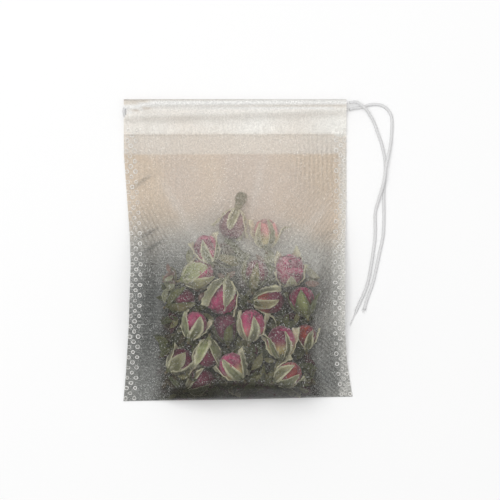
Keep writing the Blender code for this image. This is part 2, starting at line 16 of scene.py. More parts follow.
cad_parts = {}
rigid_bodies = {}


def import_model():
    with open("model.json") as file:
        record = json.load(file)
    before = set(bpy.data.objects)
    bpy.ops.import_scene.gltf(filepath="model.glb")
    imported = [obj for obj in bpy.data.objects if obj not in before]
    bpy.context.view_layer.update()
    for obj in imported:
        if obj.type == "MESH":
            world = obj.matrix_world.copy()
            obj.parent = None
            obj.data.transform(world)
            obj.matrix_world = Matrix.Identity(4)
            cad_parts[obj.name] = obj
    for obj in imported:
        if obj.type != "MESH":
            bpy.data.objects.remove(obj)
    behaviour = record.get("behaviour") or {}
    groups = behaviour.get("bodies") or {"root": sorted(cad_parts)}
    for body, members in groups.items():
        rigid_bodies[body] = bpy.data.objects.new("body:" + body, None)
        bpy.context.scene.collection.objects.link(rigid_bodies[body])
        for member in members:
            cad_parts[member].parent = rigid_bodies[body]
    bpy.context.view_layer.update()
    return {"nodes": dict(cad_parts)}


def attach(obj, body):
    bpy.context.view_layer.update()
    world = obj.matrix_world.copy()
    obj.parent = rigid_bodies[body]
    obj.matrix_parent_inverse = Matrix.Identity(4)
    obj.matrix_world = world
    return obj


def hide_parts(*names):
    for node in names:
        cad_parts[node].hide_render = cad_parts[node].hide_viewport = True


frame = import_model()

nodes = frame["nodes"]
stage_set = bpy.context.scene.collection.objects


# Camera. It looks straight down on the flat bag, at the framing of the photograph.

VIEW_WIDTH = 0.131
CAMERA_HEIGHT = 0.8
VIEW_MIDDLE = (0.00314, 0.00007)


def add_object(name, data):
    """A new object in the scene."""
    item = bpy.data.objects.new(name, data)
    stage_set.link(item)
    return item


lens = bpy.data.cameras.new("camera_above")
lens.lens = lens.sensor_width * CAMERA_HEIGHT / VIEW_WIDTH
lens.clip_start = 0.01
lens.clip_end = 20.0
camera = add_object("camera_above", lens)
camera.location = (*VIEW_MIDDLE, CAMERA_HEIGHT)
bpy.context.scene.camera = camera


# Drawstring. One soft cotton cord of three twisted strands, threaded through the front hem from
# the right edge to the left, round the left edge and back through the back hem. Both ends hang
# out at the right: one is cut blunt and frays, the other thins out to a single yarn.

BAG_WIDTH = 0.060
BAG_LENGTH = 0.079
FOLD_Y = -BAG_LENGTH / 2
MOUTH_Y = BAG_LENGTH / 2
# stations along each side, 0 at the fold to 1 at the mouth, and how far it is drawn in there
LEFT_DRAWN_IN = [(0.0, 0.0), (0.10, 0.0007), (0.25, 0.0015), (0.45, 0.0020), (0.55, 0.0017),
                 (0.68, 0.0009), (0.82, 0.0001), (0.90, 0.0009), (1.0, 0.0009)]
RIGHT_DRAWN_IN = [(0.0, 0.0), (0.06, 0.0008), (0.12, 0.0015), (0.22, 0.0020), (0.50, 0.0020),
                  (0.66, 0.0016), (1.0, 0.0016)]

PLY = 0.0002
CLEARANCE = 0.0003
CORD_DIAMETER = 0.00085
STRAND_RISE = 0.0017
STRAND_DIP_RUN = 0.0075
LEFT_DIP = 0.65
FRONT_SLANT = 0.15
HELD_STEPS = 8
TURN_FLATNESS = 0.75
CHANNEL_RADIUS = CORD_DIAMETER / 2 + CLEARANCE
WRAP_RADIUS = CHANNEL_RADIUS + PLY
WRAP_TANGENT = sqrt(2.0)
BACK_STRAND_Z = PLY + CHANNEL_RADIUS
TAIL_GAP = 0.0004

# routes of both tails in millimetres; a point without a height lies on the table
ON_TABLE = 0.43
UPPER_TAIL = [
    (30.6, 38.8, 1.95), (31.8, 38.3, 1.78), (32.7, 37.6, 1.68), (33.7, 36.6, 1.45),
    (34.7, 35.1, 0.95), (35.8, 32.9, 0.55), (36.7, 30.4), (37.5, 28.1), (38.1, 25.6), (38.5, 23.2),
    (38.6, 20.8), (38.4, 18.2), (38.2, 15.6), (38.15, 12.9), (38.2, 9.2), (38.1, 5.3), (37.8, 2.8),
    (37.2, 0), (36.6, -2.8), (36.1, -5.2), (35.6, -7.4), (35, -9.6), (34.2, -11.7), (33.5, -13.8),
    (33.1, -15.3),
]
LOWER_TAIL = [
    (30, 37.1, 0.7), (31.4, 37.3, 0.5), (32.7, 37.5), (34.1, 38), (35.8, 38.2), (37.4, 38),
    (38.6, 37.4), (39.5, 36.4), (40.1, 35.2), (40.3, 33.7), (40.3, 32), (40.2, 30.2),
    (40, 28.2, 0.6), (39.6, 26, 0.98), (39.1, 23.8, 1.48), (38.6, 21.4, 1.64), (38.4, 19.4, 1.66),
    (38, 17.4, 1.64), (37.4, 15.2, 1.4), (36.8, 13.2, 0.8), (36.2, 11.2, 0.47), (35.9, 9.4),
    (35.9, 7.6), (35.9, 5.3), (35.8, 2.8), (35.4, -0.3), (34.9, -3.6), (34.3, -7), (33.6, -9.6),
    (32.8, -11.7), (32.2, -13), (31.5, -14.6), (30.8, -16.2), (30, -18), (29.3, -19.7),
]

LAY_LENGTH = 0.0026
STRANDS = 3
STRAND_GROOVE = 0.24
CORD_STEP = 0.0002
FUZZ_HAIRS_PER_METRE = 5000
FUZZ_LENGTH = 0.0005
FUZZ_THICKNESS = 0.000011
FUZZ_SIZES = (0.4, 1.3)
FUZZ_LOWEST_FACING = -0.1
COTTON = (0.97, 0.965, 0.945)
# painted shade: the cotton's colour in the grooves between the strands
COTTON_GROOVE_SHADE = (0.90, 0.89, 0.85)
WHOLE_END = 0.0001
LOWER_THIN_END = 0.0046
LOWER_THIN_SHARE = 0.34
THINNEST_FROM = 0.55
TAIL_SEED = 11
HELD_SEED = 17
YARN_SEED = 31

YARN_COUNT = 6
YARN_DIAMETER = 0.00022
YARN_LAY = 0.0009
YARN_REACH = (0.0007, 0.0014)
YARN_TIP = 0.4
YARN_FAN = 0.9
YARN_ROOT = 0.0004
YARN_ROOT_WIDTH = 0.0005
YARN_TIP_WIDTH = 0.0012
YARN_BOW = 0.0001
YARN_SINK = 0.0003
YARN_LOWEST = 0.00012


def smooth_step(t):
    t = min(max(t, 0.0), 1.0)
    return t * t * (3.0 - 2.0 * t)


def side_x(y, side):
    """Outer edge of the bag at height y, side -1 at the left and 1 at the right."""
    stations, drawn_in = zip(*(LEFT_DRAWN_IN if side < 0 else RIGHT_DRAWN_IN))
    return side * (BAG_WIDTH / 2 - float(np.interp((y - FOLD_Y) / BAG_LENGTH, stations, drawn_in)))


LEFT_END = side_x(MOUTH_Y, -1)
RIGHT_END = side_x(MOUTH_Y, 1)


def front_strand(x):
    """Place in Y of the strand in the front hem: it dips to the left edge."""
    dip = STRAND_RISE * LEFT_DIP * (1 - smooth_step((x - LEFT_END) / STRAND_DIP_RUN))
    return MOUTH_Y - WRAP_RADIUS - FRONT_SLANT * STRAND_RISE * (1 - x / (BAG_WIDTH / 2)) / 2 - dip


def back_strand(x):
    """Place in Y of the strand in the back hem: it slants down to the left."""
    return MOUTH_Y - WRAP_RADIUS - STRAND_RISE * (1 + (RIGHT_END - x) / BAG_WIDTH)


def front_strand_z(x):
    """Height of the front strand, which lies on the back hem or against its raised strand."""
    ends = []
    for end in (LEFT_END, RIGHT_END):
        apart = front_strand(end) - back_strand(end)
        flat = 4 * PLY + CLEARANCE + CHANNEL_RADIUS
        beside = (BACK_STRAND_Z + (WRAP_RADIUS + CHANNEL_RADIUS) * WRAP_TANGENT
                  + PLY + CLEARANCE - apart)
        ends.append(max(flat, beside))
    across = (x - LEFT_END) / (RIGHT_END - LEFT_END)
    return ends[0] + (ends[1] - ends[0]) * across


def held_route():
    """Route of the drawstring through the front hem, round the left edge and back."""
    start = RIGHT_END + CLEARANCE
    stations = [start - (start - LEFT_END) * k / HELD_STEPS for k in range(HELD_STEPS + 1)]
    front = [(x, front_strand(x), front_strand_z(x)) for x in stations]
    back = [(x, back_strand(x), BACK_STRAND_Z) for x in reversed(stations)]
    turn_y = (front[-1][1] + back[0][1]) / 2
    turn_z = (front[-1][2] + back[0][2]) / 2
    radius = (front[-1][1] - back[0][1]) / 2
    turn = [(LEFT_END - radius * sin(a) * TURN_FLATNESS, turn_y + radius * cos(a),
             turn_z + (front[-1][2] - turn_z) * cos(a)) for a in (pi / 4, pi / 2, 3 * pi / 4)]
    return front + turn + back


def smooth_route(points, steps=12):
    """Close points on a smooth curve through the route's own points."""
    pts = [Vector(p) for p in points]
    pts = [2 * pts[0] - pts[1]] + pts + [2 * pts[-1] - pts[-2]]
    dense = []
    for a, b, c, d in zip(pts, pts[1:], pts[2:], pts[3:]):
        for k in range(steps):
            t = k / steps
            dense.append(0.5 * (2 * b + (c - a) * t + (2 * a - 5 * b + 4 * c - d) * t ** 2
                                + (3 * b - a - 3 * c + d) * t ** 3))
    dense.append(pts[-2])
    return dense


def fill(item, sockets):
    """Fills or links a node's sockets. A node given for a socket means its first output."""
    for key, value in dict(sockets).items():
        if isinstance(value, bpy.types.Node):
            value = value.outputs[0]
        if isinstance(value, bpy.types.NodeSocket):
            item.id_data.links.new(value, item.inputs[key])
        else:
            item.inputs[key].default_value = value


def makers(tree):
    """Two functions for one tree: any node by its short name, and a Math node's result."""
    geometry = tree.bl_idname == "GeometryNodeTree"
    families = ("GeometryNode", "FunctionNode", "ShaderNode") if geometry else ("ShaderNode",)

    def node(kind, sockets=(), **settings):
        made = tree.nodes.new(next(f + kind for f in families if hasattr(bpy.types, f + kind)))
        for key, value in settings.items():
            setattr(made, key, value)
        fill(made, sockets)
        return made

    def maths(operation, *values):
        return node("Math", enumerate(values), operation=operation).outputs[0]

    return node, maths


def new_tree(name, **inputs):
    """A Geometry Nodes tree: itself, its inputs by kind, its output node and its makers."""
    tree = bpy.data.node_groups.new(name, "GeometryNodeTree")
    for kind, labels in {"Geometry": ["Geometry"], **inputs}.items():
        for label in labels:
            tree.interface.new_socket(label, in_out="INPUT", socket_type="NodeSocket" + kind)
    tree.interface.new_socket("Geometry", in_out="OUTPUT", socket_type="NodeSocketGeometry")
    given = tree.nodes.new("NodeGroupInput").outputs
    return tree, given, tree.nodes.new("NodeGroupOutput"), *makers(tree)


def ranged(node, value, start, end, low=0.0, high=1.0, **settings):
    """A value carried over from one span of numbers to another."""
    spans = {"Value": value, "From Min": start, "From Max": end, "To Min": low, "To Max": high}
    return node("MapRange", spans, **settings).outputs[0]


def grain(node, place, scale, detail, roughness=0.5):
    """A noise texture over a place."""
    return node("TexNoise", {"Vector": place, "Scale": scale, "Detail": detail, "Roughness": roughness})


def toned(node, colour, tone):
    """A colour made lighter or darker."""
    return node("VectorMath", {0: colour, "Scale": tone}, operation="SCALE")


def end_tree(node, out, shape, material):
    """Ends a tree in real, smooth geometry of one material."""
    real = node("RealizeInstances", {"Geometry": shape})
    soft = node("SetShadeSmooth", {"Geometry": real})
    fill(out, {"Geometry": node("SetMaterial", {"Geometry": soft, "Material": material})})


def mark(layers, name, kind, values):
    """Gives the points of a mesh a number, a vector or a colour each."""
    field = {"FLOAT": "value", "FLOAT_VECTOR": "vector", "FLOAT_COLOR": "color"}[kind]
    layers.new(name, kind, "POINT").data.foreach_set(field, np.ravel(values).astype(np.float32))


def run_tree(name, tree, values, points, edges=(), **marks):
    """What the tree makes of points and edges with marks on them, as a plain mesh."""
    source = bpy.data.meshes.new(f"{name}_source")
    source.from_pydata([tuple(p) for p in points], edges, [])
    for label, (kind, numbers) in marks.items():
        mark(source.attributes, label, kind, numbers)
    item = add_object(source.name, source)
    modifier = item.modifiers.new(tree.name, "NODES")
    modifier.node_group = tree
    for socket in tree.interface.items_tree:
        if socket.item_type == "SOCKET" and socket.in_out == "INPUT" and socket.name in values:
            modifier[socket.identifier] = values[socket.name]
    evaluated = item.evaluated_get(bpy.context.evaluated_depsgraph_get())
    mesh = bpy.data.meshes.new_from_object(evaluated)
    mesh.name = name
    item.modifiers.remove(modifier)
    bpy.data.objects.remove(item, do_unlink=True)
    return mesh


def shade(name):
    """A new material: itself, its surface shader and its makers."""
    mat = bpy.data.materials.new(name)
    mat.use_nodes = True
    return mat, mat.node_tree.nodes["Principled BSDF"], *makers(mat.node_tree)


def cotton_material():
    """Soft white cotton with painted shade in the grooves between strands, and a fine lint."""
    mat, shader, node, maths = shade("cotton_cord")
    lobe = node("Attribute", attribute_name="lobe").outputs["Fac"]
    place = node("TexCoord").outputs["Object"]
    lint = grain(node, place, 5200.0, 3.0)
    soil = grain(node, place, 160.0, 2.0)
    light = ranged(node, lobe, 0.0, 0.62)
    # painted shade: the cotton darkens in the grooves between the strands
    groove_shaded = node("Mix", {"Factor": light, "A": (*COTTON_GROOVE_SHADE, 1.0), "B": (*COTTON, 1.0)},
                   data_type="RGBA").outputs["Result"]
    amount = maths("MULTIPLY_ADD", lint, 0.14, 0.93)
    amount = maths("MULTIPLY_ADD", soil, 0.06, maths("SUBTRACT", amount, 0.03))
    bump = node("Bump", {"Strength": 0.55, "Distance": 0.00004, "Height": lint})
    fill(shader, {"Base Color": toned(node, groove_shaded, amount), "Normal": bump, "Roughness": 0.92,
                  "Sheen Weight": 0.25})
    return mat


cotton = cotton_material()

cord_tree, given, out, node, maths = new_tree(
    "twisted_cord", Float=["Diameter", "Lay length", "Groove", "Step", "Length", "Thin end", "Thin share",
                           "Hair density", "Hair length", "Hair thickness"],
    Int=["Seed"], Material=["Material"])
line = node("MeshToCurve", {"Mesh": given["Geometry"]})
line = node("ResampleCurve", {"Curve": line, "Length": given["Step"]}, mode="LENGTH")
run = node("InputNamedAttribute", {"Name": "run"}, data_type="FLOAT")
turned = maths("MULTIPLY", maths("DIVIDE", run, given["Lay length"]), tau)
line = node("SetCurveTilt", {"Curve": line, "Tilt": turned})
thinnest = maths("MULTIPLY", given["Thin end"], THINNEST_FROM)
thinning = ranged(node, maths("SUBTRACT", given["Length"], run), thinnest, given["Thin end"],
                  given["Thin share"], 1.0, interpolation_type="SMOOTHSTEP")
radius = maths("MULTIPLY", maths("MULTIPLY", given["Diameter"], 0.5), thinning)
line = node("SetCurveRadius", {"Curve": line, "Radius": radius})
# the section: a circle drawn in between the strands
ring = node("CurvePrimitiveCircle", {"Resolution": 24, "Radius": 1.0})
angle = maths("MULTIPLY", node("SplineParameter").outputs["Factor"], STRANDS / 2 * tau)
lobe = maths("ABSOLUTE", maths("COSINE", angle))
ring = node("StoreNamedAttribute", {"Geometry": ring, "Name": "lobe", "Value": lobe},
            data_type="FLOAT", domain="POINT")
drawn_in = maths("MULTIPLY", given["Groove"], maths("SUBTRACT", 1.0, lobe))
spot = node("VectorMath", {0: node("InputPosition"), "Scale": maths("SUBTRACT", 1.0, drawn_in)},
            operation="SCALE")
ring = node("SetPosition", {"Geometry": ring, "Position": spot})
tube = node("CurveToMesh", {
    "Curve": line, "Profile Curve": ring, "Scale": node("InputRadius"), "Fill Caps": True})
facing = node("SeparateXYZ", {0: node("InputNormal")}).outputs["Z"]
upper = node("Compare", {"A": facing, "B": FUZZ_LOWEST_FACING}, operation="GREATER_THAN")
dots = node("DistributePointsOnFaces", {
    "Mesh": tube, "Selection": upper, "Density": given["Hair density"], "Seed": given["Seed"]})
# one bent hair of unit length, rooted just under the surface
bend = node("CurveQuadraticBezier", {
    "Resolution": 4, "Start": (0.0, 0.0, -0.1), "Middle": (0.0, 0.0, 0.5), "End": (0.5, 0.1, 0.8)})
thin_ring = node("CurvePrimitiveCircle", {"Resolution": 3, "Radius": given["Hair thickness"]})
hair_size = node("CombineXYZ", {axis: given["Hair length"] for axis in range(3)})
hair = node("Transform", {"Geometry": bend, "Scale": hair_size})
hair = node("CurveToMesh", {"Curve": hair, "Profile Curve": thin_ring, "Fill Caps": True})
spin, size = (node("RandomValue", {2: least, 3: most, "Seed": given["Seed"]}, data_type="FLOAT").outputs[1]
              for least, most in ((0.0, tau), FUZZ_SIZES))
aimed = node("RotateEuler", {
    "Rotation": dots.outputs["Rotation"], "Rotate By": node("CombineXYZ", {2: spin})}, space="LOCAL")
hairs = node("InstanceOnPoints", {"Points": dots, "Instance": hair, "Rotation": aimed, "Scale": size})
hairs = node("StoreNamedAttribute", {"Geometry": hairs, "Name": "lobe", "Value": 1.0},
             data_type="FLOAT", domain="INSTANCE")
both = node("JoinGeometry")
for part in (tube, hairs):
    fill(both, {0: part})
end_tree(node, out, both, given["Material"])


def twisted_cord(route, name, seed, diameter=CORD_DIAMETER, lay=LAY_LENGTH, thin_end=WHOLE_END,
                 thin_share=1.0):
    """The mesh of one twisted cord along a route. It thins out over thin_end to thin_share."""
    run = np.cumsum([0.0] + [(b - a).length for a, b in zip(route, route[1:])])
    sizes = {"Diameter": diameter, "Lay length": lay, "Groove": STRAND_GROOVE, "Step": CORD_STEP,
             "Length": float(run[-1]), "Thin end": thin_end, "Thin share": thin_share,
             "Hair density": FUZZ_HAIRS_PER_METRE / (pi * diameter), "Hair length": FUZZ_LENGTH,
             "Hair thickness": FUZZ_THICKNESS, "Seed": seed, "Material": cotton}
    edges = [(k, k + 1) for k in range(len(route) - 1)]
    return run_tree(name, cord_tree, sizes, route, edges, run=("FLOAT", run))


def joined(meshes, name):
    """One object of several meshes that share their material."""
    bm = bmesh.new()
    for mesh in meshes:
        bm.from_mesh(mesh)
    merged = bpy.data.meshes.new(name)
    bm.to_mesh(merged)
    bm.free()
    merged.materials.append(meshes[0].materials[0])
    return add_object(name, merged)


def yarn_ends(route, seed):
    """Short yarns that splay from the cut end of the cord and sink to the table."""
    chance = random.Random(seed)
    end = route[-1]
    ahead = (route[-1] - route[-8]).normalized()
    aside = ahead.cross(Vector((0.0, 0.0, 1.0)))
    low = max(YARN_LOWEST, end.z - YARN_SINK)
    yarns = []
    for k in range(YARN_COUNT):
        spread = (k / (YARN_COUNT - 1) - 0.5) * YARN_FAN + chance.uniform(-0.1, 0.1)
        reach = chance.uniform(*YARN_REACH)
        start = end - ahead * YARN_ROOT + aside * spread * YARN_ROOT_WIDTH
        drop = Vector((0.0, 0.0, low - end.z + chance.uniform(0, YARN_SINK)))
        tip = end + ahead * reach + aside * spread * YARN_TIP_WIDTH + drop
        middle = start.lerp(tip, 0.5) - aside * spread * YARN_BOW
        yarns.append(twisted_cord(smooth_route([start, middle, tip], 4), f"yarn_{k}", seed + k,
                                  YARN_DIAMETER, YARN_LAY, thin_end=reach, thin_share=YARN_TIP))
    return yarns


start_x = RIGHT_END + CLEARANCE + TAIL_GAP
tails = [
    ("upper", front_strand(start_x), front_strand_z(start_x), UPPER_TAIL, WHOLE_END, 1.0),
    ("lower", back_strand(start_x), BACK_STRAND_Z, LOWER_TAIL, LOWER_THIN_END, LOWER_THIN_SHARE),
]
for number, (name, start_y, start_z, tail, thin_end, thin_share) in enumerate(tails):
    tail = [(x / 1000, y / 1000, (z[0] if z else ON_TABLE) / 1000) for x, y, *z in tail]
    route = smooth_route([(start_x, start_y, start_z), *tail])
    meshes = [twisted_cord(route, "cord", TAIL_SEED + number, thin_end=thin_end, thin_share=thin_share)]
    if name == "upper":
        meshes += yarn_ends(route, YARN_SEED)
    piece = joined(meshes, f"cord_tail_{name}")
    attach(piece, "root")
    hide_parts(f"drawstring_tail_{name}")

piece = joined([twisted_cord(smooth_route(held_route()), "cord", HELD_SEED)], "cord_in_hems")
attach(piece, "root")
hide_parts("drawstring_in_hem")


# Rosebuds. Dried whole buds: a stub of stalk, a small green hip, five narrow sepals with pale
# woolly margins, and crinkled petals closed over each other. They lie loose in the bag.

BUD_DIAMETER = 0.0064
BUD_LENGTH = 0.0092
ON_BACK_PLY = 0.00032
PRESSED_SHARE = 0.12

# heights are shares of a bud's length and reaches are shares of its radius
WIDEST = 0.62
TAPER = 0.47
PETAL_LAYERS = 8
PETAL_TURN = radians(137.5)
PETAL_HALF_ANGLE = (66, 88)
PETAL_FOOT = 0.27
PETAL_TOP = 0.992
PETAL_RIM = 0.22
SEPAL_COUNT = 5
SEPAL_ANGLE = radians(43.5)
SEPAL_WIDTH = 0.0042
SEPAL_HALF_THICKNESS = 0.00009
SEPAL_FOOT = 0.17
SEPAL_TRIES = (1.0, 0.75, 0.5, 0.3, 0.12, 0.0)  # shares of the opening it would like
HIP_OUTLINE = [(0.14, 0.26), (0.19, 0.40), (0.25, 0.50), (0.31, 0.58), (0.36, 0.50)]
HIP_POINTS = 12
BLADE_POINTS = 9
STALK_LEAVES = {15: 0.0031}  # the bud with a leaf at its stalk: the leaf's length
BUD_CLEARANCE = 0.00012
CLOTH_CLEARANCE = 0.0005

PINK = (0.56, 0.075, 0.20)
WINE = (0.17, 0.022, 0.060)
RED = (0.50, 0.085, 0.055)
PURPLE = (0.20, 0.060, 0.105)
CREAM = (0.66, 0.56, 0.24)
PALE = (0.72, 0.26, 0.27)
GREEN = (0.34, 0.38, 0.16)
OLIVE = (0.11, 0.115, 0.045)
SAGE = (0.16, 0.175, 0.090)
PALE_SAGE = (0.35, 0.35, 0.23)
DARK = (0.06, 0.065, 0.035)
FRESH = (0.38, 0.41, 0.16)
STRAW = (0.46, 0.36, 0.19)
WOOL = (0.76, 0.73, 0.50)
STALK_LEAF = (0.06, 0.075, 0.035)
STALK_STUB = (0.16, 0.10, 0.055)

# heading, pitch, roll, size, petal tips, petal bases, sepals, margins, sepal width
BUDS = [
    (22, 0, 20, 0.95, WINE, DARK, OLIVE, SAGE, 0.9),
    (94, 0, 10, 0.85, RED, WINE, OLIVE, WOOL, 0.8),
    (3, 0, 10, 1.05, WINE, RED, OLIVE, WOOL, 0.8),
    (98, 0, 0, 1.00, PURPLE, WINE, OLIVE, SAGE, 0.8),
    (30, 0, 30, 1.00, WINE, WINE, OLIVE, WOOL, 0.8),
    (-20, 0, 38, 0.88, WINE, DARK, OLIVE, WOOL, 0.8),
    (-8, 0, 38, 0.88, DARK, DARK, OLIVE, WOOL, 0.8),
    (151, 0, 50, 0.95, DARK, DARK, OLIVE, SAGE, 0.9),
    (80, 0, 64, 1.00, WINE, DARK, OLIVE, SAGE, 0.8),
    (21, 0, 45, 1.10, PINK, CREAM, GREEN, WOOL, 1.5),
    (70, 0, 15, 0.95, PINK, WINE, SAGE, WOOL, 1.1),
    (92, 0, 30, 1.10, PINK, CREAM, OLIVE, WOOL, 0.6),
    (39, 0, 65, 0.95, WINE, GREEN, SAGE, WOOL, 1.2),
    (106, 0, 55, 1.00, PINK, OLIVE, GREEN, SAGE, 1.2),
    (-108, 4, 0, 1.05, PURPLE, PURPLE, SAGE, WOOL, 0.8),
    (92, 0, 24, 1.00, PALE, CREAM, SAGE, WOOL, 0.55),
    (110, 5, 50, 0.95, PINK, PINK, SAGE, WOOL, 0.8),
    (30, 0, 35, 0.95, RED, WINE, SAGE, WOOL, 1.0),
    (-97, 0, 21, 0.95, WINE, OLIVE, GREEN, WOOL, 1.2),
    (129, 6, 51, 1.00, PINK, CREAM, SAGE, WOOL, 0.9),
    (83, 8, 15, 1.05, PINK, PALE, PALE_SAGE, WOOL, 0.9),
    (-106, 5, 40, 1.20, PINK, PURPLE, PALE_SAGE, WOOL, 1.2),
    (90, 55, 0, 1.20, PINK, WINE, PALE_SAGE, WOOL, 1.1),
]


def dried_material(name, fibre, bump_depth, roughness, sheen):
    """Dried plant skin: its own colour, mottled and streaked along the grain, and wrinkled."""
    mat, shader, node, maths = shade(name)
    own = node("Attribute", attribute_name="bud_colour").outputs["Color"]
    place = node("TexCoord").outputs["Object"]
    stretched = node("Mapping", {"Vector": node("UVMap", uv_map="grain"), "Scale": (fibre, 2.2, 1.0)})
    streak = grain(node, stretched, 1.0, 4.0, 0.65)
    mottle = grain(node, place, 900.0, 4.0, 0.6)
    specks = node("TexVoronoi", {"Vector": place, "Scale": 2600.0})
    tone = maths("MULTIPLY_ADD", streak, 1.1, 0.42)
    tone = maths("MULTIPLY", tone, maths("MULTIPLY_ADD", mottle, 1.0, 0.52))
    height = maths("MULTIPLY_ADD", streak, 1.0, maths("MULTIPLY", specks, 0.25))
    bump = node("Bump", {"Strength": 0.8, "Distance": bump_depth, "Height": height})
    fill(shader, {"Base Color": toned(node, own, tone), "Normal": bump, "Roughness": roughness,
                  "Specular IOR Level": 0.3, "Sheen Weight": sheen})
    return mat


petal_skin = dried_material("dried_petal", 26.0, 0.00022, 0.62, 0.3)
sepal_skin = dried_material("dried_sepal", 14.0, 0.00012, 0.78, 0.15)
stalk_skin = dried_material("dried_stalk", 9.0, 0.00010, 0.75, 0.0)


def mixed(a, b, share):
    return tuple(x + (y - x) * share for x, y in zip(a, b))


def uneven(x, y, z):
    """A smooth random number at a place, about -1 to 1."""
    return noise.noise(Vector((x, y, z)))


def mark_uv(mesh, name, places):
    """Gives the points of a mesh their places in a flat pattern."""
    layer = mesh.uv_layers.new(name=name)
    layer.data.foreach_set("uv", [c for loop in mesh.loops for c in places[loop.vertex_index]])


class BudMesh:
    """One bud, gathered part by part. A corner is its place, its colour and its place in the grain."""

    def __init__(self):
        self.corners = []
        self.faces = []
        self.skins = []

    def add_rings(self, rings, skin):
        """Closed rings of equal count joined into a skin, with a fan over each end."""
        first, count = len(self.corners), len(rings[0])
        last = first + (len(rings) - 1) * count
        faces = []
        for ring in rings:
            self.corners += ring

        def sides(start):
            return [(start + j, start + (j + 1) % count) for j in range(count)]

        for start in range(first, last, count):
            faces += [(a, b, b + count, a + count) for a, b in sides(start)]
        for start, ring in ((first, rings[0]), (last, rings[-1])):
            pole = len(self.corners)
            middle = sum((Vector(place) for place, _, _ in ring), Vector()) / count
            self.corners.append((tuple(middle), *ring[0][1:]))
            faces += [(a, b, pole) if start == last else (b, a, pole) for a, b in sides(start)]
        self.faces += faces
        self.skins += [skin] * len(faces)

    def to_object(self, name, place):
        """The bud where it lies, its undersides pressed flat against the back of the bag."""
        spots, colours, grains = zip(*self.corners)
        placed = [place @ Vector(p) for p in spots]
        for point in placed:
            if point.z < ON_BACK_PLY:
                point.z = ON_BACK_PLY - PRESSED_SHARE * (ON_BACK_PLY - point.z)
        mesh = bpy.data.meshes.new(name)
        mesh.from_pydata(placed, [], self.faces)
        for skin in (petal_skin, sepal_skin, stalk_skin):
            mesh.materials.append(skin)
        mesh.polygons.foreach_set("material_index", self.skins)
        mesh.polygons.foreach_set("use_smooth", [True] * len(self.faces))
        mark(mesh.color_attributes, "bud_colour", "FLOAT_COLOR", [(*tone, 1.0) for tone in colours])
        mark_uv(mesh, "grain", grains)
        bm = bmesh.new()
        bm.from_mesh(mesh)
        bmesh.ops.recalc_face_normals(bm, faces=bm.faces)
        bm.to_mesh(mesh)
        bm.free()
        return add_object(name, mesh)


def blade_round(across):
    """Once round a thin blade: the face's side and the place across it, from -1 to 1."""
    return [(side, side * (2 * j / (across - 1) - 1)) for side in (1, -1) for j in range(across)]


def on_bud(radius, length, angle, reach, height):
    """A place on a bud, with its stalk down and its middle at the origin."""
    return radius * reach * cos(angle), radius * reach * sin(angle), length * (height - 0.5)


def petal_reach(height):
    """Radius of the closed petals at a height, as a share of the bud's radius."""
    if height > WIDEST:
        return sqrt(max(0.0, 1.0 - ((height - WIDEST) / (1.0 - WIDEST)) ** 2))
    return max(0.0, 1.0 - (min(WIDEST - height, TAPER) / TAPER) ** 1.8) ** 0.6


def add_petals(bud, radius, length, tip, base, seed):
    """Crinkled petals round a closed core, each wrapped over the one before."""
    chance = random.Random(seed)
    stations = 13
    for layer in range(PETAL_LAYERS):
        core = layer == 0
        middle = layer * PETAL_TURN + chance.uniform(-0.2, 0.2)
        wide = radians(180 if core else chance.uniform(*PETAL_HALF_ANGLE))
        fit = 0.87 + 0.019 * layer
        top = 0.994 if core else PETAL_TOP - 0.011 * layer + chance.uniform(-0.015, 0.008)
        brightness = chance.uniform(0.70, 1.20)
        aged = 0.6 if core else chance.choice((0.0, 0.2, 0.5, 0.8))
        tip_colour = mixed(tip, WINE, aged)
        rings = []
        for v in (i / (stations - 1) for i in range(stations)):
            height = PETAL_FOOT + (top - PETAL_FOOT) * (1.0 - (1.0 - v) ** 1.35)
            half = wide * (1.0 - (0.0 if core else 0.25 * v ** 4))
            rim = max(0.0, (v - (1.0 - PETAL_RIM)) / PETAL_RIM) ** 2
            ring = []
            for side, u in blade_round(BLADE_POINTS):
                angle = middle + half * u * (0.985 if core else 1.0)
                h = height - (0.0 if core else 0.07 * u * u * v ** 3)
                crease = uneven(angle * 2.6 + 7 * layer, h * 3.0, seed)
                crinkle = uneven(angle * 7.0 + 3 * layer, h * 9.0, seed + 50)
                reach = petal_reach(min(h, 0.9995)) * fit * (1.0 + 0.08 * crease + 0.04 * crinkle)
                if not core:
                    reach += 0.035 * u * min(1.0, 3 * v) + 0.06 * rim * (0.5 + crease)
                reach += 0.014 * side * (1.0 - v if core else 1.0)
                shaded = mixed(base, tip_colour, smooth_step((h - 0.36) / 0.30 + 0.4 * crease))
                # darker where the crease noise dents the petal inwards: painted shade in its creases;
                # lighter at the rim
                deep = brightness * (1.0 + 0.9 * min(crease, 0.25)) * (1.25 if rim > 0.4 else 1.0)
                ring.append((on_bud(radius, length, angle, reach, h),
                             tuple(min(1.0, c * deep) for c in shaded), (angle / tau, v)))
            rings.append(ring)
        bud.add_rings(rings, 0)


